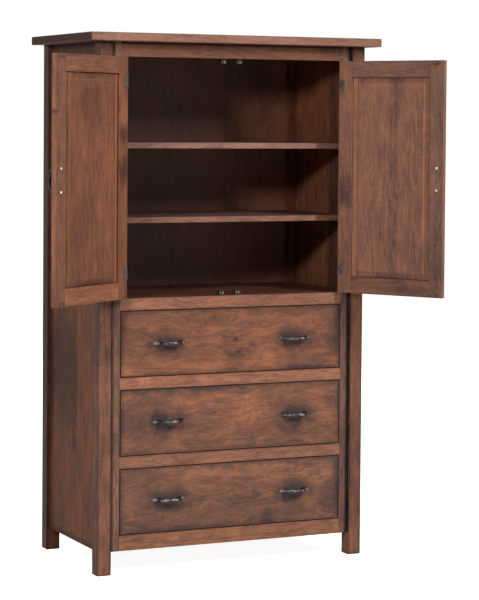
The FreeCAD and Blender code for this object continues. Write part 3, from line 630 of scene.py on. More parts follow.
class WoodEffects:
    """The node groups that the wooden pieces share.

    Attributes:
        grain: The parts of the grain at a place.
        boards: How glued boards differ, and their seams.
        edges: The distance from a piece's nearest edge.
        marks: The mask of each form of mark.
        stain: The stained colour, its roughness and its relief.
    """

    def __init__(self) -> None:
        """Builds each group once."""
        self.grain = self._grain()
        self.boards = self._boards()
        self.edges = self._edges()
        shapes = {Form.OVAL: self._oval, Form.STRIP: self._strip, Form.SWIRL: self._swirl}
        self.marks = {form: self._mark(form, shape) for form, shape in shapes.items()}
        self.stain = self._stain()

    @staticmethod
    def _grain() -> bpy.types.NodeTree:
        """Makes the grain: growth rings, fibres, stain clouds, cross ripple and pores.

        The whole pattern first wanders across the grain by smooth noise times the wave.

        The rings are thin bands of the distance from the heart of the tree, a line that lies
        below the board and leans away from it, so that a flat face cuts them in long arches.
        """
        made, tree, given, out = new_group(
            "wood grain",
            {"Place": "Vector", "Heart": "Vector", "Wave": "Float"},
            {part: "Float" for part in GRAIN_PARTS},
        )
        wander = tree.noise(given["Place"], WANDER, "Color")
        bent = tree.node(
            "ShaderNodeVectorMath",
            tree.vector("MULTIPLY", wander, (0.0, 1.0, 1.0)),
            operation="SCALE",
        )
        tree.put(bent.inputs["Scale"], given["Wave"])
        place = tree.vector("ADD", given["Place"], bent.outputs["Vector"])
        seen = {name: tree.pattern(place, kind) for name, kind in PATTERNS.items()}

        x, *apart = tree.parts(given["Heart"])
        y, z = (tree.total(way, (x, lean)) for way, lean in zip(apart, HEART_LEAN))
        squares = tree.math("ADD", tree.math("POWER", y, 2.0), tree.math("POWER", z, 2.0))
        bends = ((tree.noise(place, noise), strength) for strength, noise in RING_BENDS)
        radius = tree.total(tree.math("SQRT", squares), *bends)
        turn = tree.math("SINE", tree.math("MULTIPLY", radius, 2 * math.pi / RING_SPACING))
        rings = tree.smooth(turn, *RING_TURN)
        curl = tree.math("SUBTRACT", seen["Ripple"], 0.5)
        tree.fill(
            out,
            {
                "Rings": tree.math("MULTIPLY", rings, seen["Shown"]),
                "Curl": tree.math("MULTIPLY", curl, seen["Rippled"]),
                **{part: seen[part] for part in ("Fibre", "Cloud", "Pores")},
            },
        )
        return made

    @staticmethod
    def _boards() -> bpy.types.NodeTree:
        """Makes glued boards: each has its own tone and grain, with a hair-thin seam between."""
        made, tree, given, out = new_group(
            "glued boards",
            {"Across": "Float", "Width": "Float", "Seed": "Float"},
            {"Tone": "Float", "Shift": "Vector", "Middle": "Float", "Seam": "Float"},
        )
        spread, seam = (5.0, 2.0, 2.0), (0.0002, 0.0012)
        width, seed = given["Width"], given["Seed"]
        counted = tree.math("ADD", tree.math("DIVIDE", given["Across"], width), seed)
        index = tree.math("FLOOR", counted)
        middle = tree.math("SUBTRACT", tree.math("ADD", index, 0.5), seed)
        random = tree.node("ShaderNodeTexWhiteNoise", noise_dimensions="1D")
        tree.put(random.inputs["W"], tree.math("ADD", index, seed))
        beside = tree.math("PINGPONG", tree.math("FRACT", counted), 0.5)
        tree.fill(
            out,
            {
                "Tone": random.outputs["Value"],
                "Shift": tree.vector("MULTIPLY", random.outputs["Color"], spread),
                "Middle": tree.math("MULTIPLY", middle, width),
                "Seam": tree.fade(tree.math("MULTIPLY", beside, width), *seam),
            },
        )
        return made

    @staticmethod
    def _edges() -> bpy.types.NodeTree:
        """Makes the distance from a box-shaped piece's nearest edge.

        Of the distances to the three pairs of faces, the middle one is the distance to the
        nearest edge for any point on the surface.
        """
        made, tree, given, out = new_group(
            "piece edges",
            {"Place": "Vector", "Low": "Vector", "High": "Vector"},
            {"Distance": "Float"},
        )
        after = tree.vector("SUBTRACT", given["Place"], given["Low"])
        before = tree.vector("SUBTRACT", given["High"], given["Place"])
        x, y, z = tree.parts(tree.vector("MINIMUM", after, before))
        smaller, larger = tree.math("MINIMUM", x, y), tree.math("MAXIMUM", x, y)
        middle = tree.math("MAXIMUM", smaller, tree.math("MINIMUM", larger, z))
        tree.put(out["Distance"], middle)
        return made

    @staticmethod
    def _mark(form: Form, shape: Callable[[Tree, Sockets, Socket], Socket]) -> bpy.types.NodeTree:
        """Makes the mask of a form of mark: 1 inside the mark and 0 outside it.

        Args:
            form: The form.
            shape: Works the mask out from what the group is given and the way to the point
                from the mark's middle.

        Returns:
            The group.
        """
        inputs = {"Place": "Vector", "Centre": "Vector", "Reach": "Vector", "Soft": "Float"}
        made, tree, given, out = new_group(f"{form.value} mark", inputs, {"Mask": "Float"})
        apart = tree.vector("SUBTRACT", given["Place"], given["Centre"])
        tree.put(out["Mask"], shape(tree, given, apart))
        return made

    @staticmethod
    def _oval(tree: Tree, given: Sockets, apart: Socket) -> Socket:
        """Works out a soft oval with a ragged rim."""
        ragged = 0.8
        far = tree.length(tree.vector("DIVIDE", apart, given["Reach"]))
        noise = tree.noise(given["Place"], OVAL_RIM)
        far = tree.math("ADD", far, tree.total(-ragged / 2, (noise, ragged)))
        return tree.fade(far, tree.math("SUBTRACT", 1.0, given["Soft"]), 1.0)

    @staticmethod
    def _strip(tree: Tree, given: Sockets, apart: Socket) -> Socket:
        """Works out a box with straight edges."""
        inside = tree.vector("SUBTRACT", given["Reach"], tree.vector("ABSOLUTE", apart))
        x, y, z = tree.parts(inside)
        least = tree.math("MINIMUM", x, tree.math("MINIMUM", y, z))
        return tree.smooth(least, 0.0, given["Soft"])

    @staticmethod
    def _swirl(tree: Tree, given: Sockets, apart: Socket) -> Socket:
        """Works out wavering rings that close round the middle and fade towards the reach."""
        waver, dark, fading = 1.8, (-0.2, 1.0), (0.35, 1.0)
        far = tree.length(tree.vector("DIVIDE", apart, given["Reach"]))
        bent = tree.total(far, (tree.noise(given["Place"], SWIRL_RIM), waver))
        turn = tree.math("DIVIDE", tree.math("MULTIPLY", bent, 2 * math.pi), given["Soft"])
        rings = tree.smooth(tree.math("SINE", turn), *dark)
        return tree.math("MULTIPLY", rings, tree.fade(far, *fading))

    @staticmethod
    def _stain() -> bpy.types.NodeTree:
        """Makes the stained colour, its roughness and its relief from the grain's values.

        The level, which runs from dark to light, is the lift, which also carries the marks' painted
        light and shade, plus each part of the grain about its mean times the finish's own strength.
        Glaze, which some marks also use for painted shade, wear and the painted shade line along
        the margin's edge then cover it.
        """
        made, tree, given, out = new_group(
            "rubbed stain with painted shade",
            {
                **{part: "Float" for part in GRAIN_PARTS},
                **{part: "Float" for part in ("Tone", "Seam", "Glazed", "Worn", "Lift", "Crevice Shade")},
                **{part: "Color" for part in STAIN_COLOURS},
                **{part: "Float" for part in STAIN_STRENGTHS},
            },
            {"Color": "Color", "Roughness": "Float", "Height": "Float"},
        )
        gain, tone_spread, mean_rings, worn_share = 1.6, 0.4, 0.25, 0.5
        pore_glaze, seam_glaze = 0.25, 0.4
        fibre_rough, glaze_rough, worn_rough = 0.10, 0.06, -0.05
        pore_height, seam_height, ring_height = -0.6, -1.0, 0.2
        cloud, fibre, tone = (
            tree.math("SUBTRACT", given[part], 0.5) for part in ("Cloud", "Fibre", "Tone")
        )
        level = tree.total(
            given["Lift"],
            (cloud, given["Blotch"]),
            (tree.math("SUBTRACT", mean_rings, given["Rings"]), given["Figure"]),
            (given["Curl"], given["Ripple"]),
            (fibre, given["Streak"]),
            (tone, tone_spread),
        )
        glazed = tree.total(
            given["Glazed"], (given["Pores"], pore_glaze), (given["Seam"], seam_glaze)
        )
        worn = tree.math("MULTIPLY", given["Worn"], worn_share)
        colour = given["Middle"]
        for share, cover in (
            (tree.math("MULTIPLY", level, gain), given["Light"]),
            (tree.math("MULTIPLY", level, -gain), given["Dark"]),
            (glazed, given["Glaze"]),
            (worn, given["Light"]),
            # The dark colour of the painted shade line along the margin's edge.
            (given["Crevice Shade"], tint(44, 26, 20)),
        ):
            colour = tree.mix(share, colour, cover)
        rough = tree.total(
            given["Gloss"],
            (fibre, fibre_rough),
            (given["Glazed"], glaze_rough),
            (given["Worn"], worn_rough),
        )
        height = tree.total(
            fibre,
            (given["Pores"], pore_height),
            (given["Seam"], seam_height),
            (given["Rings"], ring_height),
        )
        tree.fill(out, {"Color": colour, "Roughness": rough, "Height": height})
        return made


class Workshop:
    """Makes the materials and puts them on the CAD nodes.

    Attributes:
        nodes: The CAD nodes by name.
        looks: The finishes.
        effects: The node groups that the boards share.
    """

    def __init__(self, nodes: dict[str, bpy.types.Object]) -> None:
        """Keeps the nodes and builds the shared effects."""
        self.nodes = nodes
        self.looks = Finishes()
        self.effects = WoodEffects()

    @staticmethod
    def _blank(name: str) -> tuple[bpy.types.Material, Tree, bpy.types.Node]:
        """Makes an empty material with its shader linked to its output."""
        made = bpy.data.materials.new(name)
        made.use_nodes = True
        made.node_tree.nodes.clear()
        tree = Tree(made.node_tree)
        shader = tree.node("ShaderNodeBsdfPrincipled")
        tree.node("ShaderNodeOutputMaterial", shader.outputs["BSDF"])
        return made, tree, shader

    @staticmethod
    def _relief(tree: Tree, shader: bpy.types.Node, height: Socket, depth: float) -> None:
        """Sends a height to the shader's normal through a Bump node."""
        bump = tree.node("ShaderNodeBump")
        tree.fill(bump.inputs, {"Strength": 1.0, "Distance": depth, "Height": height})
        tree.put(shader.inputs["Normal"], bump.outputs["Normal"])

    def _give(self, name: str, material: bpy.types.Material) -> None:
        """Puts a material in every slot of a CAD node."""
        node = self.nodes[name]
        if not node.material_slots:
            node.data.materials.append(material)
        for place in node.material_slots:
            place.material = material

    def _heart(
        self, tree: Tree, board: Board, piece: Piece, place: Socket
    ) -> tuple[Socket, object, dict[str, object]]:
        """Finds where the heart of the tree lay, board by board.

        Args:
            tree: The material's tree.
            board: The board.
            piece: Its closed box.
            place: The closed place of the point.

        Returns:
            The vector from the heart, the grain's shift, and the boards' tone and seam.
        """
        start = piece.centre
        start[piece.thin] -= HEART_DEPTH
        step = tuple(board.seed * part for part in SEED_STEP)
        if board.boards is None:
            return tree.vector("SUBTRACT", place, start), step, {"Tone": 0.5, "Seam": 0.0}
        axis, width = board.boards
        glued = tree.group(
            self.effects.boards, Across=tree.parts(place)[axis], Width=width, Seed=board.seed
        )
        origin = [glued["Middle"] if number == axis else start[number] for number in range(3)]
        origin = tree.node("ShaderNodeCombineXYZ", *origin).outputs[0]
        shift = tree.vector("ADD", glued["Shift"], step)
        known = {part: glued[part] for part in ("Tone", "Seam")}
        return tree.vector("SUBTRACT", place, origin), shift, known

    def _margin(
        self, tree: Tree, board: Board, piece: Piece, place: Socket
    ) -> tuple[Socket, dict[str, Socket]]:
        """Glazes and rubs a board's edges.

        Args:
            tree: The material's tree.
            board: The board.
            piece: Its closed box.
            place: The closed place of the point.

        Returns:
            The distance from the margin's edge, and how glazed and worn the point is and how
            dark the painted shade line along the margin's edge is there.
        """
        least_reach, reach_low, reach_spread = 0.002, -0.6, 3.2
        line_start, worn_width, worn_parts = 0.0008, (0.0006, 0.0026), (0.4, 0.62)
        edge = tree.group(self.effects.edges, Place=place, Low=piece.low, High=piece.high)
        edge = edge["Distance"]
        margin = tree.math("SUBTRACT", edge, board.hidden)
        ragged = tree.noise(place, MARGIN)
        width = board.glaze_width
        reach = tree.total(reach_low * width, (ragged, reach_spread * width))
        near = tree.smooth(margin, 0.0, tree.math("MAXIMUM", reach, least_reach))
        # A painted shade line just inside the margin's edge, standing for the shade of the gap.
        line = tree.smooth(margin, line_start, board.crevice_shade_width)
        worn = tree.smooth(ragged, *worn_parts)
        return margin, {
            "Glazed": tree.total(board.glaze_depth, (near, -board.glaze_depth)),
            "Crevice Shade": tree.total(board.crevice_shade, (line, -board.crevice_shade)),
            "Worn": tree.math("MULTIPLY", tree.fade(edge, *worn_width), worn),
        }

    def wood(self, board: Board, stain: Stain) -> None:
        """Makes the stained surface of one board and puts it on the board's node.

        Args:
            board: The board.
            stain: Its stain, before the board's own shade.
        """
        # The end grain's range of facing, the painted highlight line's width at the arris, its
        # lift, and the relief's depth.
        end_grain, rubbed, arris_highlight, relief = (0.03, 0.4), (0.0008, 0.0030), 0.28, 0.00012
        made, tree, shader = self._blank(board.node)
        finish = stain.shaded(board.shade)
        piece = board.closed or Piece.of(board.node)
        source = tree.node("ShaderNodeTexCoord")
        place, facing = source.outputs["Object"], source.outputs["Normal"]
        if board.turned is not None:
            turn = board.turned.to_euler()
            place = tree.turned(place, turn, board.turned.to_translation())
            facing = tree.turned(facing, turn)
        heart, shift, known = self._heart(tree, board, piece, place)
        grain = tree.group(
            self.effects.grain,
            Place=tree.vector("ADD", tree.turned(place, board.grain.value), shift),
            Heart=tree.turned(heart, board.grain.value),
            Wave=finish.wave,
        )
        margin, edged = self._margin(tree, board, piece, place)
        along = tree.math("ABSOLUTE", tree.parts(tree.turned(facing, board.grain.value))[0])
        lift = tree.math("MULTIPLY", tree.smooth(along, *end_grain), -board.end_dark)
        # A painted highlight line along the arris of a raised panel.
        if board.arris:
            apart = tree.math("ABSOLUTE", tree.math("SUBTRACT", margin, board.arris))
            lift = tree.total(lift, (tree.fade(apart, *rubbed), arris_highlight))
        for mark in board.marks:
            mask = tree.group(
                self.effects.marks[mark.form],
                Place=place,
                Centre=piece.centre + Vector(mark.offset),
                Reach=mark.reach,
                Soft=mark.soft,
            )["Mask"]
            if mark.lift:
                lift = tree.total(lift, (mask, mark.lift))
            if mark.glaze:
                edged["Glazed"] = tree.total(edged["Glazed"], (mask, mark.glaze))

        stained = tree.group(
            self.effects.stain,
            **{part: grain[part] for part in GRAIN_PARTS},
            **known,
            **edged,
            Lift=lift,
            **{name: getattr(finish, part) for name, part in STAIN_PARTS.items()},
        )
        tree.put(shader.inputs["Base Color"], stained["Color"])
        tree.put(shader.inputs["Roughness"], stained["Roughness"])
        shader.inputs["Specular IOR Level"].default_value = finish.sheen
        self._relief(tree, shader, stained["Height"], relief)
        self._give(board.node, made)

    def metal(self, name: str, finish: MetalFinish, fit: bool = True) -> bpy.types.Material:
        """Makes a metal surface with worn high spots and fine marks.

        Args:
            name: The material's name.
            finish: The metal's finish.
            fit: Whether the CAD node of the same name gets it.

        Returns:
            The material.
        """
        rubbed_scale, mark_share, mark_rough, worn_range = 0.23, 0.5, 0.25, (0.66, 0.9)
        made, tree, shader = self._blank(name)
        place = tree.node("ShaderNodeTexCoord").outputs["Object"]
        marks = tree.noise(place, Noise(finish.mark_scale, 4.0, 0.6))
        rubbed = tree.noise(place, Noise(finish.mark_scale * rubbed_scale, 2.0))
        worn = tree.smooth(tree.total(rubbed, (marks, mark_share)), *worn_range)
        rough = tree.total(finish.roughness, (marks, mark_rough))
        tree.put(shader.inputs["Base Color"], tree.mix(worn, finish.base, finish.worn))
        tree.put(shader.inputs["Roughness"], rough)
        shader.inputs["Metallic"].default_value = finish.metallic
        self._relief(tree, shader, marks, finish.mark_depth)
        if fit:
            self._give(name, made)
        return made


@dataclass
class Skin:
    """The points and faces of a surface before it becomes a piece.

    Attributes:
        points: One row of three for each point.
        faces: The point numbers of each face.
    """

    points: np.ndarray
    faces: list[list[int]]

    @staticmethod
    def of_rings(rings: np.ndarray) -> "Skin":
        """Skins a grid of closed rings and closes both ends on their rings' middles.

        Neighbouring rings i and i + 1 are joined by the quads (i, j), (i, j + 1),
        (i + 1, j + 1), (i + 1, j), with j wrapped round. If the volume, the sum over the faces
        of a dot (b cross c) / 6, comes out negative, every face is turned round.

        Args:
            rings: The points as rings by points in a ring by three.

        Returns:
            The closed surface.
        """
        count, size = rings.shape[:2]
        points = np.vstack([rings.reshape(-1, 3), rings[0].mean(0), rings[-1].mean(0)])
        start = np.arange(count - 1)[:, None] * size
        here, after = np.arange(size)[None], np.roll(np.arange(size), -1)[None]
        up = start + size
        quads = np.stack([start + here, start + after, up + after, up + here], -1).reshape(-1, 4)
        last, first_tip, last_tip = (count - 1) * size, count * size, count * size + 1
        first_fan = np.stack([after[0], here[0], np.full(size, first_tip)], -1)
        last_fan = np.stack([last + here[0], last + after[0], np.full(size, last_tip)], -1)
        halves = np.vstack([quads[:, [0, 1, 2]], quads[:, [0, 2, 3]], first_fan, last_fan])
        a, b, c = (points[halves[:, k]] for k in range(3))
        faces = [quads, first_fan, last_fan]
        if np.einsum("ij,ij->i", a, np.cross(b, c)).sum() < 0:
            faces = [part[:, ::-1] for part in faces]
        return Skin(points, [row for part in faces for row in part.tolist()])

    def placed(self, matrix: Matrix) -> "Skin":
        """Moves the surface by a rigid matrix."""
        by = np.array(matrix)
        return Skin(self.points @ by[:3, :3].T + by[:3, 3], self.faces)

    @staticmethod
    def joined(skins: Sequence["Skin"]) -> "Skin":
        """Puts several surfaces together as one."""
        points, faces, count = [], [], 0
        for skin in skins:
            points.append(skin.points)
            faces += [[number + count for number in face] for face in skin.faces]
            count += len(skin.points)
        return Skin(np.vstack(points), faces)

    def piece(
        self, name: str, material: bpy.types.Material, body: str, slot: str
    ) -> bpy.types.Object:
        """Makes the surface a smooth piece that rides on a body.

        Args:
            name: The piece's name.
            material: Its material.
            body: The body it rides on.
            slot: The record's material slot; not used.

        Returns:
            The piece.
        """
        mesh = bpy.data.meshes.new(name)
        mesh.from_pydata(self.points.tolist(), [], self.faces)
        mesh.polygons.foreach_set("use_smooth", np.ones(len(mesh.polygons), bool))
        mesh.materials.append(material)
        made = bpy.data.objects.new(name, mesh)
        bpy.context.scene.collection.objects.link(made)
        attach(made, body)
        LOG.info("%s: %d faces", name, len(self.faces))
        return made


def eased(table: np.ndarray, steps: int) -> np.ndarray:
    """Runs a smooth curve through the rows of a table.

    Between rows p1 and p2, with p0 and p3 beyond them and u from 0 to 1, the value is half of
    2 p1 + (p2 - p0) u + (2 p0 - 5 p1 + 4 p2 - p3) u^2 + (3 p1 - p0 - 3 p2 + p3) u^3.

    Args:
        table: The rows to pass through.
        steps: The number of values between two rows.

    Returns:
        The rows of the smooth curve.
    """
    held = np.vstack([2 * table[0] - table[1], table, 2 * table[-1] - table[-2]])
    share = np.linspace(0, len(table) - 1, (len(table) - 1) * steps + 1)
    start = np.minimum(share.astype(int), len(table) - 2)
    u = (share - start)[:, None]
    p0, p1, p2, p3 = (held[start + k] for k in range(4))
    bend = 2 * p0 - 5 * p1 + 4 * p2 - p3
    return (2 * p1 + (p2 - p0) * u + bend * u**2 + (3 * p1 - p0 - 3 * p2 + p3) * u**3) / 2


@dataclass(frozen=True)
class ForgedPull:
    """A forged pull along X about its own middle, its feet on the wood and its bar towards -Y.

    Attributes:
        length: Over the feet's tips.
        reach: From the wood to the bar's outer side.
        bar: Side of the square bar.
        twist_length: Length of the twisted part.
        twist: Its turn from end to end.
        leg: Stations from the twist to the foot's tip, each as the outer side's (x, out), the
            inner side's (x, out), the half width, and how square the outer and the inner side
            are, in millimetres.
        around: Points in a ring.
        rings: Rings in the twisted part.
        steps: Rings from one station of a leg to the next.
        square: How square the bar is.
    """

    length: float = 0.115
    reach: float = 0.0278
    bar: float = 0.0085
    twist_length: float = 0.042
    twist: float = 2 * math.pi
    leg: tuple[tuple[float, ...], ...] = (
        (21.0, 27.8, 21.0, 19.3, 4.25, 5.0, 5.0),
        (26.3, 27.2, 24.6, 18.2, 4.3, 4.5, 4.5),
        (30.8, 24.9, 27.3, 14.4, 4.4, 4.0, 4.5),
        (35.0, 19.8, 29.2, 8.6, 4.7, 3.4, 5.0),
        (39.6, 12.8, 30.6, 2.8, 5.2, 3.0, 6.0),
        (44.6, 7.3, 35.2, 0.0, 6.1, 2.8, 9.0),
        (50.4, 3.3, 46.0, 0.0, 6.3, 2.6, 9.0),
        (54.8, 2.0, 53.2, 0.0, 4.7, 2.6, 9.0),
        (57.4, 1.0, 57.3, 0.0, 1.2, 2.4, 9.0),
    )
    around: int = 32
    rings: int = 97
    steps: int = 6
    square: float = 5.0

    def _section(self, turn: np.ndarray, outer: np.ndarray, inner: np.ndarray) -> np.ndarray:
        """Works out rounded squares.

        At an angle v the point is sign(cos v) |cos v|^(2/n) outwards and
        sign(sin v) |sin v|^(2/n) sideways, where n, from 2 for a circle to 9 for a square, is
        the squareness of the side that v is on.

        Args:
            turn: Where each ring starts, one for each ring.
            outer: The outer side's squareness.
            inner: The inner side's squareness.

        Returns:
            Rings by points by (outwards, sideways).
        """
        angle = np.linspace(0, 2 * np.pi, self.around, endpoint=False)[None] + turn[:, None]
        power = 2 / np.where(np.cos(angle) > 0, outer[:, None], inner[:, None])
        out = np.sign(np.cos(angle)) * np.abs(np.cos(angle)) ** power
        side = np.sign(np.sin(angle)) * np.abs(np.sin(angle)) ** power
        return np.stack([out, side], -1)

    def _twisted(self) -> np.ndarray:
        """Works out the bar: a rounded square that turns evenly as it goes along X."""
        x = np.linspace(-self.twist_length / 2, self.twist_length / 2, self.rings)
        turn = self.twist * (x / self.twist_length)
        square = np.full(len(x), self.square)
        section = self._section(np.zeros(len(x)), square, square) * self.bar / 2
        out = section[..., 0] * np.cos(turn)[:, None] - section[..., 1] * np.sin(turn)[:, None]
        side = section[..., 0] * np.sin(turn)[:, None] + section[..., 1] * np.cos(turn)[:, None]
        along = np.broadcast_to(x[:, None], out.shape)
        return np.stack([along, -(self.reach - self.bar / 2 + out), side], -1)

    def _leg(self, side: int) -> np.ndarray:
        """Works out one leg from the twist to its tip.

        Each ring lies between the outer side's point O and the inner side's point I: its middle
        is (O + I) / 2 and its outward half axis is (O - I) / 2.

        Args:
            side: 1 for the leg towards +X and -1 for the other.

        Returns:
            The leg's rings.
        """
        table = eased(np.array(self.leg), self.steps)
        outer, inner = table[:, 0:2] / 1000, table[:, 2:4] / 1000
        turn = np.full(len(table), self.twist / 2 * side)
        section = self._section(turn, table[:, 5], table[:, 6])
        middle, axis = (outer + inner) / 2, (outer - inner) / 2
        place = middle[:, None] + axis[:, None] * section[..., :1]
        width = section[..., 1] * table[:, 4, None] / 1000
        return np.stack([side * place[..., 0], -place[..., 1], width], -1)

    def skin(self) -> Skin:
        """Joins the leg, the bar and the other leg into one closed surface."""
        left, right = self._leg(-1)[::-1], self._leg(1)
        return Skin.of_rings(np.vstack([left[:-1], self._twisted(), right[1:]]))


@dataclass(frozen=True)
class Screw:
    """A cross-recessed screw along Z, its head's underside at Z = 0.

    Attributes:
        head: Radius of the head.
        height: Height of the head.
        shank: Radius of the shank.
        length: Length of the shank.
        recess: Depth of the cross.
        around: Points round it.
    """

    head: float = 0.0042
    height: float = 0.0024
    shank: float = 0.002
    length: float = 0.028
    recess: float = 0.0012
    around: int = 40

    def skin(self) -> Skin:
        """Turns the screw's profile about Z and sinks the cross into its crown.

        The crown falls from the head's height by 0.45 of it times the square of the share of
        the radius. The cross is cut where the smaller of |x| and |y| is small: to the full
        recess under 0.075 of the head's radius and not at all over 0.2 of it. It runs out
        between 0.52 and 0.62 of the head's radius.

        Returns:
            The closed surface.
        """
        share = np.array([0.04, 0.12, 0.2, 0.28, 0.36, 0.44, 0.52, 0.6, 0.7, 0.82, 0.93, 1.0])
        crown = self.height * (1 - 0.45 * share**2)
        tip = [self.shank, self.shank, self.shank / 9]
        radius = np.concatenate([share * self.head, [self.head] * 2, tip])
        neck = [self.height * 0.3, 0.0, 0.0, -self.length + self.shank, -self.length]
        level = np.concatenate([crown, neck])
        angle = np.linspace(0, 2 * np.pi, self.around, endpoint=False)
        x, y = radius[:, None] * np.cos(angle), radius[:, None] * np.sin(angle)
        arm = np.clip(1.6 - np.minimum(np.abs(x), np.abs(y)) / (self.head / 8), 0, 1)
        near = np.clip((0.62 - np.hypot(x, y) / self.head) / 0.1, 0, 1)
        sunk = np.where(level[:, None] > 0.4 * self.height, self.recess * arm * near, 0.0)
        return Skin.of_rings(np.stack([x, y, level[:, None] - sunk], -1))

    def at(self, places: Sequence[Matrix]) -> Skin:
        """Puts the screw at each place, as one surface."""
        one = self.skin()
        return Skin.joined([one.placed(place) for place in places])


# The small screws of the hinges and strikes.
SMALL_SCREW = Screw(head=0.0029, height=0.0006, shank=0.0012, length=0.002, recess=0.0004)

# A hinge leaf's height, the distance between its screws, how far the case leaf's screws are
# from the stile's face, and each door leaf's screw as in from its edge and up from its middle.
HINGE_HEIGHT = 0.04
HINGE_SPACING = 0.0125
HINGE_INSET = 0.010
HINGE_HOLES = ((0.007, 0.0), (0.0115, HINGE_SPACING), (0.0115, -HINGE_SPACING))

# A strike plate's height and its screws across it, and the distance between a pull's screws.
STRIKE_HEIGHT = 0.012
STRIKE_HOLES = (-0.011, 0.011)
PULL_CENTRES = 0.0762


def facing(place: Vector, out: Vector) -> Matrix:
    """The matrix that puts a screw made along Z at a place, with its head outwards."""
    across = Vector((0, 0, 1)).cross(out).normalized()
    turn = Matrix((across, out.cross(across), out)).transposed()
    return Matrix.Translation(place) @ turn.to_4x4()


@dataclass
class Case:
    """The posts, front frame, panels and top, and what is inside.

    Attributes:
        side_board: Width of the side panels' glued boards.
        top_board: Width of the top's glued boards.
    """

    side_board: float = 0.17
    top_board: float = 0.131

    def posts(self) -> list[Board]:
        """The four posts."""
        # Front-left post: darker upper part, paler low patch, painted shade on its left face,
        # painted shade along its right edge beside the stile, and painted shadow of the top at its
        # head.
        front_left_shading = (
            strip(2, 0.30, 0.49, -0.14, 0.12, 0.004),
            Mark((0, 0, -0.29), (0.2, 0.2, 0.07), lift=0.25),
            strip(0, -0.026, 0.003, -0.45, soft=0.002),
            strip(0, 0.0245, 0.007, glaze=0.6, soft=0.007),
            strip(2, 0.88, 0.05, -0.2, 0.25, 0.02),
        )
        # Front-right post: painted shade on its left face beside the stile, painted shadow of the
        # top at its head, and a paler and a darker band lower down.
        shaded = (
            Mark((-0.026, 0, 0.05), (0.0045, PAST, 0.87), -0.9, 1.1, 0.002, Form.STRIP),
            strip(2, 0.88, 0.05, -0.1, 0.15, 0.02),
            band(2, -0.17, 0.16, 0.3),
            band(2, -0.6, 0.3, -0.15),
        )
        # Rear-left post: its foot painted lighter, painted light on the front face that shows below
        # the side panel.
        foot = (strip(2, -0.88, 0.06, 0.6, soft=0.01),)
        # Rear-right post: a painted highlight line along its inner corner.
        inner = (Mark((-0.0225, -0.0225, 0), (0.004, 0.004, PAST), 0.8, 0.0, 0.002, Form.STRIP),)
        plan = (
            ("front_left", 3.1, (0.74, 0.81, 0.88), 0.008, front_left_shading),
            ("front_right", 4.6, (0.76, 0.82, 0.85), 0.012, shaded),
            ("rear_left", 5.3, (0.29, 0.32, 0.37), 0.012, foot),
            ("rear_right", 6.9, (0.5, 0.42, 0.38), 0.012, inner),
        )
        return [
            Board(f"post_{name}", Grain.UPRIGHT, seed, shade, glaze_width=width, marks=marks)
            for name, seed, shade, width, marks in plan
        ]

    def front(self) -> list[Board]:
        """The front frame's stiles and rails."""
        # Painted shade on each stile's half beside its post, which stands proud of it, and a darker
        # band across its middle.
        recess_shade = [
            (strip(0, side * 0.0165, 0.0155, lift, glaze, 0.013), band(2, 0.02, 0.13, -0.35))
            for side, lift, glaze in ((-1, 0.0, 0.6), (1, -0.2, 1.0))
        ]
        # The bottom rail is darker towards its left end.
        darker_left_end = (band(0, -0.38, 0.13, -0.35),)
        # Top rail: painted shadow of the top along its upper edge and painted light on its lower
        # part.
        shade = (
            strip(2, 0.026, 0.012, -0.7, 0.4, 0.008),
            strip(2, -0.015, 0.02, 0.35, soft=0.006),
        )
        plan = (
            ("face_stile_left", Grain.UPRIGHT, 11.4, (0.62, 0.72, 0.82), recess_shade[0]),
            ("face_stile_right", Grain.UPRIGHT, 12.4, (0.52, 0.6, 0.75), recess_shade[1]),
            ("bottom_rail", Grain.ALONG_X, 21.7, (0.9, 0.9, 0.83), darker_left_end),
            ("drawer_rail_lower", Grain.ALONG_X, 23.0, (0.8, 0.82, 0.87), ()),
            ("drawer_rail_upper", Grain.ALONG_X, 24.3, (0.96, 0.94, 0.93), ()),
            ("deck_rail", Grain.ALONG_X, 25.6, (0.77, 0.77, 0.79), ()),
            # The top rail's shade, darker than the other rails', is partly painted shade under the
            # top's overhang.
            ("top_rail", Grain.ALONG_X, 26.9, (0.44, 0.44, 0.46), shade),
        )
        return [
            Board(*row, glaze_width=0.006, glaze_depth=0.3, marks=marks) for *row, marks in plan
        ]

    def panels(self) -> list[Board]:
        """The side panels."""
        # Left side panel: painted shadow of the top along its head, and darker patches lower down.
        high = (
            band(2, 0.85, 0.07, -0.5, 0.35),
            Mark((0, 0.08, -0.27), (PAST, 0.24, 0.29), -0.5, 0.25),
            Mark((0, -0.02, -0.52), (PAST, 0.05, 0.05), -0.2, 0.25),
            Mark((0, 0.2, -0.35), (PAST, 0.04, 0.5), -0.3, 0.2),
        )
        wall = Piece.of("side_panel_right")
        face, thick = wall.low.x - wall.centre.x, 0.004
        # Right side panel's inner face: painted light high up, painted shade in a strip just behind
        # the stile, and a darker band lower down.
        lit = (
            Mark((face, 0, 0.62), (thick, PAST, 0.22), 0.25),
            Mark((face, -0.085, 0), (thick, 0.034, PAST), -0.4, 0.15, 0.003, Form.STRIP),
            Mark((face, 0, -0.06), (thick, PAST, 0.14), -0.4),
        )
        plan = (
            ("side_panel_left", Grain.UPRIGHT, 31.2, (0.62, 0.54, 0.44), high),
            ("side_panel_right", Grain.UPRIGHT, 32.2, (0.56, 0.49, 0.42), lit),
        )
        boards = (1, self.side_board)
        return [
            Board(*row, boards=boards, glaze_width=0.02, hidden=0.008, marks=marks)
            for *row, marks in plan
        ]

    def inside(self, looks: Finishes) -> list[tuple[Stain, Board]]:
        """The back, shelves, compartment floor, cleats and drawer runners, with their stains."""
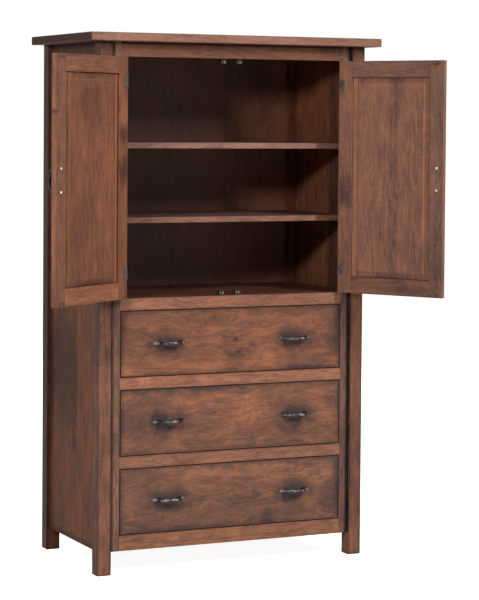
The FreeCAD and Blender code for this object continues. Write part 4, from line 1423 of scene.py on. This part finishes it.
        # Shelf tops: a dark strip on the top face, painted shade where the light doesn't reach.
        upper = (strip(2, 0.0106, 0.0010, -0.9, soft=0.0006),)
        shelf = {"boards": (1, 0.1), "glaze_width": 0.004, "glaze_depth": 0.2, "marks": upper}
        # Back: painted light on its right part and painted shade high on its left.
        painted_light_and_shade = patches(
            PAST,
            (0.3, 0.2, 0.34, 0.75, 0.7, 0),
            (0.46, 0.2, 0.11, PAST, 0.8, 0),
            (-0.26, 0.22, 0.32, 0.2, -0.4, 0),
        )
        back = {"boards": (0, 0.15), "marks": painted_light_and_shade}
        floor, bottom = {"boards": (1, 0.12)}, {"boards": (1, 0.16)}
        plain = (1.0, 1.0, 1.0)
        plan = (
            (looks.inner, "back_panel", Grain.UPRIGHT, 51.3, (0.87, 0.96, 1.09), back),
            (looks.case, "rear_rails", Grain.ALONG_X, 53.0, plain, {}),
            # The compartment floor's dark shade is painted shade.
            (looks.inner, "compartment_floor", Grain.ALONG_X, 54.7, (0.5, 0.5, 0.55), floor),
            (looks.inner, "side_cleats", Grain.ALONG_Y, 56.4, plain, {}),
            (looks.inner, "bottom_panel", Grain.ALONG_X, 58.1, plain, bottom),
            (looks.case, "shelf_lower", Grain.ALONG_X, 59.8, (0.86, 0.95, 1.05), shelf),
            (looks.case, "shelf_upper", Grain.ALONG_X, 61.5, (0.91, 1.08, 1.4), shelf),
            (looks.box, "drawer_runners", Grain.ALONG_Y, 63.2, plain, {}),
        )
        return [(stain, Board(*row, **extra)) for stain, *row, extra in plan]

    def dress(self, shop: Workshop) -> None:
        """Finishes every piece of the case."""
        looks = shop.looks
        slab = Board(
            "top_slab",
            Grain.ALONG_X,
            41.9,
            boards=(1, self.top_board),
            glaze_width=0.004,
            end_dark=0.9,
        )
        plan = [(looks.case, board) for board in self.posts() + self.panels()]
        plan += [(looks.frame, board) for board in self.front()]
        plan += [(looks.top, slab), *self.inside(looks)]
        for stain, board in plan:
            shop.wood(board, stain)
        shop.metal("shelf_pins", looks.bright)
        LOG.info("case: %d pieces", len(plan) + 1)


# The reach of the dark glaze round a pull, and how far its middle is from the pull's.
HALO = (0.12, 0.3, 0.068)
HALO_ASIDE = Vector((-0.004, 0, -0.004))

DRAWER_MARKS: dict[int, tuple[Mark, ...]] = {
    1: (
        strip(2, -0.0935, 0.0225, 0.26),
        *patches(
            0.3,
            (0.0126, 0.003, 0.016, 0.010, -0.8, 0.3),
            (0.0225, -0.041, 0.017, 0.012, -0.9, 0.4),
            (0.0225, -0.041, 0.055, 0.04, -0.3, 0, 0.2),
            (-0.015, -0.025, 0.05, 0.055, -0.16, 0),
            (0.075, -0.035, 0.03, 0.04, -0.2, 0),
            (-0.4, 0.02, 0.12, 0.13, 0, 0.2),
            (-0.2, 0.075, 0.3, 0.04, 0, 0.25),
            (0.06, 0.02, 0.17, 0.07, 0.08, 0),
            # A darker patch at the right end, painted shadow of the open right door.
            (0.41, 0.02, 0.075, 0.12, 0, 0.7),
            (0.28, -0.09, 0.19, 0.05, 0, 0.5),
        ),
    ),
    2: patches(
        0.3,
        (-0.016, 0.019, 0.13, 0.062, -0.34, 0, 0.14),
        (0.138, 0.029, 0.11, 0.058, -0.34, 0, 0.16),
        (0.02, 0.025, 0.22, 0.08, 0.22, 0),
        (0.08, 0.0, 0.18, 0.09, 0.2, 0),
        (-0.37, 0.0, 0.16, 0.13, -0.15, 0.5),
        (0.3, -0.07, 0.2, 0.05, 0, 0.35),
        (0.25, -0.02, 0.13, 0.05, -0.12, 0.15),
        (-0.15, 0.1, 0.36, 0.035, 0, 0.45),
        (0.40, 0.06, 0.06, 0.1, 0, 0.35),
    ),
    3: (
        *patches(
            0.3,
            (0.0, 0.09, 0.46, 0.035, 0.3, 0),
            (-0.2, -0.09, 0.42, 0.045, 0, 0.4),
            (0.11, -0.08, 0.12, 0.05, 0, 0.4),
            (0.42, 0.08, 0.07, 0.06, 0, 0.4),
            (0.265, 0.057, 0.14, 0.045, -0.3, 0, 0.15),
            (0.25, 0.06, 0.18, 0.04, 0.25, 0),
            (0.06, -0.03, 0.1, 0.04, -0.3, 0, 0.17),
            (0.20, -0.075, 0.16, 0.06, -0.2, 0.35),
            (0.38, -0.03, 0.10, 0.09, -0.06, 0.6),
            (-0.4, -0.02, 0.07, 0.06, 0.2, 0),
        ),
        strip(2, -0.02, 0.045, -0.08),
    ),
}

DRAWER_SHADES = ((0.85, 0.83, 0.84), (0.97, 0.97, 0.99), (0.88, 0.95, 1.02))


@dataclass
class Drawer:
    """One drawer: its front, its dovetailed box and its two pulls.

    Attributes:
        number: Counted from the top.
        shade: How the front's stain differs from the finish's.
        pull: The forged pull.
        screw: The screws that hold it.
    """

    number: int
    shade: Colour
    pull: ForgedPull = ForgedPull()
    screw: Screw = Screw()

    @property
    def name(self) -> str:
        """The drawer's name."""
        return f"drawer_{self.number}"

    def pull_middles(self, front: Piece) -> list[Vector]:
        """Where the two pulls' middles lie on the front's face."""
        metal = Piece.of(f"{self.name}_pulls")
        half = self.pull.length / 2
        return [
            Vector((x, front.low.y, metal.centre.z))
            for x in (metal.low.x + half, metal.high.x - half)
        ]

    def _front(self, front: Piece, middles: Sequence[Vector]) -> Board:
        """The front, with dark glaze round its pulls."""
        halos = [
            Mark(tuple(middle - front.centre + HALO_ASIDE), HALO, glaze=0.95, soft=0.9)
            for middle in middles
        ]
        return Board(
            f"{self.name}_front",
            Grain.ALONG_X,
            61.7 + 5.3 * self.number,
            self.shade,
            glaze_width=0.026,
            glaze_depth=0.6,
            # A painted shade line in the gap round the front.
            crevice_shade=0.95,
            crevice_shade_width=0.0042,
            marks=(*halos, *DRAWER_MARKS[self.number]),
            end_dark=0.3,
        )

    def dress(self, shop: Workshop) -> None:
        """Finishes the drawer's front and box and makes its pulls and their screws."""
        looks = shop.looks
        front = Piece.of(f"{self.name}_front")
        middles = self.pull_middles(front)
        shop.wood(self._front(front, middles), looks.drawer)
        box = {"sides": Grain.ALONG_Y, "back": Grain.ALONG_X, "bottom": Grain.ALONG_X}
        for step, (part, grain) in enumerate(box.items()):
            seed = 71.9 + 3.1 * self.number + step
            board = Board(f"{self.name}_{part}", grain, seed, glaze_depth=0.1, end_dark=0.2)
            shop.wood(board, looks.box)

        iron = shop.metal(f"{self.name}_pulls", looks.iron)
        bars = [self.pull.skin().placed(Matrix.Translation(middle)) for middle in middles]
        pulls = Skin.joined(bars).piece(f"{self.name}_forged_pulls", iron, self.name, "pull_iron")
        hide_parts(f"{self.name}_pulls")
        depth = front.high.y - front.low.y
        places = [
            facing(middle + Vector((side * PULL_CENTRES / 2, depth, 0)), Vector((0, 1, 0)))
            for middle in middles
            for side in (-1, 1)
        ]
        bright = shop.metal(f"{self.name}_screws", looks.bright, fit=False)
        self.screw.at(places).piece(f"{self.name}_pull_screws", bright, self.name, "pull_iron")
        LOG.info("%s dressed", self.name)


DOOR_PARTS = {
    "hinge_stile": Grain.UPRIGHT,
    "lock_stile": Grain.UPRIGHT,
    "top_rail": Grain.ALONG_X,
    "bottom_rail": Grain.ALONG_X,
    "panel": Grain.UPRIGHT,
}

DOOR_SHADES = {
    "left": (
        (0.76, 0.72, 0.67), (0.8, 0.83, 0.84), (0.86, 0.84, 0.8), (1.1, 1.04, 0.92),
        (0.75, 0.72, 0.72),
    ),
    "right": (
        (0.83, 0.91, 0.99), (0.76, 0.92, 1.08), (0.68, 0.81, 0.99), (0.63, 0.72, 0.81),
        (0.91, 0.99, 1.08),
    ),
}

DOOR_MARKS: dict[tuple[str, str], tuple[Mark, ...]] = {
    ("left", "lock_stile"): (
        # A painted highlight on the free edge, and darker wood beside it.
        strip(0, 0.026, 0.0009, 0.5),
        *patches(0.1, (0.024, 0.221, 0.016, 0.014, -0.7, 0)),
        strip(0, 0.026, 0.012, -0.22, soft=0.012),
    ),
    ("left", "panel"): (
        # Bevels: lighter and darker bands and a painted highlight line on the field's edge, painted
        # light and shade.
        strip(0, -0.146, 0.0085, 0.75),
        strip(0, 0.1315, 0.003, 0.75),
        strip(0, 0.146, 0.009, -0.12),
        *patches(
            0.1,
            (0.014, 0.24, 0.10, 0.12, -0.2, 0.15),
            (0.0, 0.345, 0.12, 0.02, 0, 0.3),
            (0.02, -0.3, 0.1, 0.1, -0.15, 0),
            (0.0, -0.345, 0.14, 0.02, 0, 0.5),
            (-0.09, -0.05, 0.06, 0.3, 0.16, 0),
        ),
    ),
    ("left", "hinge_stile"): patches(
        0.1,
        (0, 0.145, 0.04, 0.05, -0.7, 0.2),
        (0, 0.02, 0.04, 0.07, -0.7, 0.2),
        (0, 0.21, 0.04, 0.06, 0.5, 0),
        (0, -0.13, 0.04, 0.12, 0.25, 0),
    ),
    ("right", "lock_stile"): (
        # A painted highlight on the free edge.
        strip(0, -0.026, 0.0009, 0.5),
        *patches(0.1, (0, -0.3, 0.05, 0.16, -0.3, 0.3), (0, 0.3, 0.05, 0.2, -0.1, 0)),
    ),
    ("right", "panel"): (
        strip(0, -0.012, 0.020, -0.13),
        Mark((-0.012, 0, 0.265), (0.02, PAST, 0.088), -0.15, 0.0, CRISP, Form.STRIP),
        strip(0, -0.0705, 0.0585, -0.06),
        # Bevels: lighter bands, a painted shade line on one field edge and a painted highlight line
        # on the other, painted light and shade.
        strip(0, 0.1445, 0.0105, 0.5),
        strip(0, 0.1305, 0.0022, -0.3),
        strip(0, -0.1445, 0.011, 0.36, 0.3),
        strip(0, -0.1315, 0.003, 0.3, soft=0.004),
        *patches(
            0.1,
            (-0.013, 0.06, 0.022, 0.09, -0.25, 0),
            (0.0, -0.345, 0.14, 0.02, 0, 0.4),
            (0.07, -0.22, 0.13, 0.2, -0.22, 0),
            (-0.11, -0.26, 0.06, 0.09, -0.2, 0),
        ),
    ),
    ("right", "hinge_stile"): patches(
        0.1,
        (0, -0.05, 0.04, 0.09, -0.5, 0.3),
        (0, -0.28, 0.05, 0.13, -0.3, 0),
    ),
}


@dataclass
class Door:
    """One door, which stands open on its hinges.

    Attributes:
        side: Left or right.
        joints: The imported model's joints.
        shop: The maker of materials.
        pull: The forged pull.
        screw: The screws that hold it.
    """

    side: str
    joints: list[dict[str, object]]
    shop: Workshop
    pull: ForgedPull = ForgedPull()
    screw: Screw = Screw()

    @property
    def hand(self) -> int:
        """1 for the left door, whose free edge is towards +X when closed, and -1 for the right."""
        return 1 if self.side == "left" else -1

    @property
    def body(self) -> str:
        """The door's body."""
        return f"door_{self.side}"

    def closing(self) -> Matrix:
        """The turn about the hinge pin that closes the door, from the joint's own range."""
        joint = next(j for j in self.joints if j["name"] == f"{self.body}_hinge")
        pivot, axis = Vector(joint["pos_m"]), Vector(joint["axis"])
        turn = Matrix.Rotation(math.radians(min(joint["range_deg"])), 4, axis)
        return Matrix.Translation(pivot) @ turn @ Matrix.Translation(-pivot)

    def closed(self, part: str) -> Piece:
        """The box that a part has when the door is closed."""
        mesh = self.shop.nodes[f"{self.body}_{part}"].data
        flat = np.empty(3 * len(mesh.vertices))
        mesh.vertices.foreach_get("co", flat)
        by = np.array(self.closing())
        points = flat.reshape(-1, 3) @ by[:3, :3].T + by[:3, 3]
        return Piece(Vector(points.min(0)), Vector(points.max(0)))

    def boards(self) -> list[Board]:
        """The door's boards."""
        frame = {"glaze_width": 0.006, "glaze_depth": 0.3}
        # Panels get a painted shade line where they enter the frame and a painted highlight line on
        # the arris.
        raised = {**frame, "glaze_width": 0.010, "hidden": 0.009, "crevice_shade": 0.6, "arris": 0.0245}
        first = 81.3 if self.side == "left" else 93.7
        closing = self.closing()
        plan = enumerate(zip(DOOR_PARTS.items(), DOOR_SHADES[self.side]))
        return [
            Board(
                f"{self.body}_{part}",
                grain,
                first + 1.9 * number,
                shade,
                self.closed(part),
                closing,
                marks=DOOR_MARKS.get((self.side, part), ()),
                **(raised if part == "panel" else frame),
            )
            for number, ((part, grain), shade) in plan
        ]

    def dress(self) -> None:
        """Finishes the door's boards and metal, and makes its pull and screws."""
        looks = self.shop.looks
        for board in self.boards():
            self.shop.wood(board, looks.door)
        metals = {
            "pull": looks.shaded_iron,
            "pull_screws": looks.bright,
            "strikes": looks.strike,
            "hinge_leaves": looks.hinge,
        }
        made = {part: self.shop.metal(f"{self.body}_{part}", look) for part, look in metals.items()}
        self._hang_pull(made["pull"], made["pull_screws"])
        self._add_small_screws()
        LOG.info("%s dressed", self.body)

    def _hang_pull(self, iron: bpy.types.Material, bright: bpy.types.Material) -> None:
        """Makes the forged pull and its screws.

        Args:
            iron: The pull's material.
            bright: The screws' material.
        """
        opening = self.closing().inverted()
        bar, screws = self.closed("pull"), self.closed("pull_screws")
        middle = Vector((bar.centre.x, bar.high.y, bar.centre.z))
        upright = Matrix.Translation(middle) @ Matrix.Rotation(math.pi / 2, 4, "Y")
        made = self.pull.skin().placed(opening @ upright)
        pull = made.piece(f"{self.body}_forged_pull", iron, self.body, "pull_iron")
        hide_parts(f"{self.body}_pull")

        seat = Vector((bar.centre.x, screws.high.y - self.screw.height, bar.centre.z))
        places = [
            opening @ facing(seat + Vector((0, 0, level)), Vector((0, 1, 0)))
            for level in (-PULL_CENTRES / 2, PULL_CENTRES / 2)
        ]
        heads = self.screw.at(places)
        heads = heads.piece(f"{self.body}_screws", bright, self.body, "bright_steel")
        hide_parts(f"{self.body}_pull_screws")

    def _add_small_screws(self) -> None:
        """Makes the small screws of the hinge leaves and the strikes."""
        opening = self.closing().inverted()
        leaves, plates = self.closed("hinge_leaves"), self.closed("strikes")
        inner_x = leaves.high.x if self.hand > 0 else leaves.low.x
        spots = [
            Vector((inner_x - self.hand * across, leaves.high.y, level + up))
            for level in leaves.ends(HINGE_HEIGHT)
            for across, up in HINGE_HOLES
        ]
        spots += [
            Vector((plates.centre.x + across, leaves.high.y, level))
            for level in plates.ends(STRIKE_HEIGHT)
            for across in STRIKE_HOLES
        ]
        name = f"{self.body}_small_screws"
        dark = self.shop.metal(name, self.shop.looks.hinge, fit=False)
        places = [opening @ facing(spot, Vector((0, 1, 0))) for spot in spots]
        SMALL_SCREW.at(places).piece(name, dark, self.body, "hinge_steel")


def dress_fittings(shop: Workshop) -> None:
    """Finishes the hinges' case leaves and the roller catches, and screws the leaves on.

    Args:
        shop: The maker of materials.
    """
    looks = shop.looks
    shop.metal("hinge_case_leaves", looks.hinge)
    shop.metal("catch_bodies", looks.plate)
    shop.metal("catch_rollers", looks.nylon)
    leaves = Piece.of("hinge_case_leaves")
    places = []
    for hand, side in ((1, "left"), (-1, "right")):
        stile = Piece.of(f"face_stile_{side}")
        x = stile.high.x if hand > 0 else stile.low.x
        places += [
            facing(Vector((x, stile.low.y + HINGE_INSET, level + up)), Vector((hand, 0, 0)))
            for level in leaves.ends(HINGE_HEIGHT)
            for up in (-HINGE_SPACING, 0.0, HINGE_SPACING)
        ]
    dark = shop.metal("hinge_case_screws", looks.hinge, fit=False)
    SMALL_SCREW.at(places).piece("hinge_case_screws", dark, "case", "hinge_steel")
    LOG.info("catches and hinges dressed")


# Each lamp's name, place, width and height, power, the point that it faces and whether glossy
# finishes reflect it.
LAMPS = (
    ("high", (1.8, -3.8, 4.15), (0.5, 2.0), 206.0, (0.0, 0.0, 1.1), True),
    ("left", (-2.49, -1.82, 2.2), (0.28, 0.28), 60.0, (0.0, 0.0, 1.3), False),
    ("back", (2.5, 5.0, 3.6), (3.0, 3.0), 150.0, (0.0, 0.0, 0.9), True),
)

WHITE = (1.0, 1.0, 1.0)


@dataclass
class Studio:
    """The floor, the lamps, the background and the camera.

    Attributes:
        case_half: Half the case's width and depth, for the middle that the camera is set from.
        stand: The camera's place from the case's middle.
        heading: Which way it looks, in degrees from +Y towards +X.
        tilt: How far it looks down, in degrees.
        roll: How far it leans, in degrees.
        focal: Focal length in image heights.
        drop: How far the frame is shifted down, in image heights.
        sensor: The sensor's width, in the millimetres that cameras are set in.
        sight: How far the camera sees.
        ambient: Strength of the even light from all round.
        floor_half: Half the floor's side.
        floor_tone: How much light the floor sends back.
        floor_glow: What is added to the floor where it is looked at.
    """

    case_half: tuple[float, float] = (0.5015, 0.274)
    stand: tuple[float, float, float] = (-3.11141, -6.9578, 1.53547)
    heading: float = 25.0804
    tilt: float = 2.1049
    roll: float = 0.4378
    focal: float = 2143.84 / 600
    drop: float = 100 / 600
    sensor: float = 36.0
    sight: float = 100.0
    ambient: float = 0.21
    floor_half: float = 40.0
    floor_tone: float = 0.8
    floor_glow: float = 0.92

    def build(self) -> None:
        """Sets up the whole studio."""
        self._camera()
        self._floor()
        self._lamps()
        self._surround()
        bpy.context.scene.view_settings.view_transform = "Standard"
        LOG.info("studio ready")

    def middle(self) -> Vector:
        """The floor point under the middle of the posts' footprint."""
        low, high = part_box("post_rear_left")
        return Vector((low.x + self.case_half[0], high.y - self.case_half[1], 0.0))

    def _camera(self) -> None:
        """Places the camera.

        Its axes are worked out from the heading, then the tilt, then the roll.
        """
        heading, tilt, roll = (math.radians(a) for a in (self.heading, self.tilt, self.roll))
        level = Vector((math.sin(heading), math.cos(heading), 0.0))
        right = Vector((math.cos(heading), -math.sin(heading), 0.0))
        forward = level * math.cos(tilt) - Vector((0, 0, math.sin(tilt)))
        up = right.cross(forward)
        rolled_right = right * math.cos(roll) + up * math.sin(roll)
        rolled_up = up * math.cos(roll) - right * math.sin(roll)
        data = bpy.data.cameras.new("camera")
        data.sensor_fit = "AUTO"
        data.sensor_width = self.sensor
        data.lens = self.sensor * self.focal
        data.shift_y = -self.drop
        data.clip_end = self.sight
        made = bpy.data.objects.new("camera", data)
        turn = Matrix((rolled_right, rolled_up, -forward)).transposed()
        place = self.middle() + Vector(self.stand)
        made.matrix_world = Matrix.Translation(place) @ turn.to_4x4()
        bpy.context.scene.collection.objects.link(made)
        bpy.context.scene.camera = made

    @staticmethod
    def _shader(tree: Tree, kind: str, colour: Colour, strength: float | None = None) -> Socket:
        """Adds a plain shader of a colour and, where it shines, a strength."""
        made = tree.node(f"ShaderNode{kind}", colour)
        if strength is not None:
            tree.put(made.inputs["Strength"], strength)
        return made.outputs[0]

    @staticmethod
    def _switch(tree: Tree, light: Socket, looked_at: Socket, output: str) -> None:
        """Ends a tree on one shader for light and one for what looks.

        Args:
            tree: The tree.
            light: What lights the scene.
            looked_at: What the camera, a reflection or a see-through surface looks at.
            output: The output's kind.
        """
        path = tree.node("ShaderNodeLightPath").outputs
        seen = tree.math("MAXIMUM", path["Is Camera Ray"], path["Is Glossy Ray"])
        seen = tree.math("MAXIMUM", seen, path["Is Transmission Ray"])
        both = tree.node("ShaderNodeMixShader", seen, light, looked_at)
        tree.node(f"ShaderNodeOutput{output}", both.outputs[0])

    def _floor(self) -> None:
        """Lays the floor: a pale matte plane, seen as white but for the armoire's shadow."""
        half = self.floor_half
        corners = [(-half, -half, 0), (half, -half, 0), (half, half, 0), (-half, half, 0)]
        mesh = bpy.data.meshes.new("floor")
        mesh.from_pydata(corners, [], [(0, 1, 2, 3)])
        floor = bpy.data.objects.new("floor", mesh)
        bpy.context.scene.collection.objects.link(floor)
        material = bpy.data.materials.new("floor")
        material.use_nodes = True
        material.node_tree.nodes.clear()
        tree = Tree(material.node_tree)
        matte = self._shader(tree, "BsdfDiffuse", (self.floor_tone,) * 3)
        glow = self._shader(tree, "Emission", WHITE, self.floor_glow)
        lit = tree.node("ShaderNodeAddShader", matte, glow).outputs[0]
        self._switch(tree, matte, lit, "Material")
        mesh.materials.append(material)

    @staticmethod
    def _lamps() -> None:
        """Hangs the soft lamps."""
        for name, place, size, power, aim, shines in LAMPS:
            data = bpy.data.lights.new(name, "AREA")
            data.shape = "RECTANGLE"
            data.size, data.size_y = size
            data.energy = power
            lamp = bpy.data.objects.new(name, data)
            lamp.location = place
            lamp.visible_glossy = shines
            lamp.rotation_euler = (Vector(aim) - Vector(place)).to_track_quat("-Z", "Y").to_euler()
            bpy.context.scene.collection.objects.link(lamp)

    def _surround(self) -> None:
        """Surrounds the scene with even light that the camera and gloss see as white."""
        world = bpy.data.worlds.new("surround")
        bpy.context.scene.world = world
        world.use_nodes = True
        world.node_tree.nodes.clear()
        tree = Tree(world.node_tree)
        even = self._shader(tree, "Background", WHITE, self.ambient)
        shown = self._shader(tree, "Background", WHITE, 1.0)
        self._switch(tree, even, shown, "World")


def main() -> None:
    """Builds and dresses the armoire."""
    logging.basicConfig(level=logging.INFO, format="%(name)s: %(message)s")
    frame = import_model()
    Studio().build()
    shop = Workshop(frame["nodes"])
    Case().dress(shop)
    for number, shade in enumerate(DRAWER_SHADES, 1):
        Drawer(number, shade).dress(shop)
    for side in ("left", "right"):
        Door(side, frame["joints"], shop).dress()
    dress_fittings(shop)


if __name__ == "__main__":
    main()
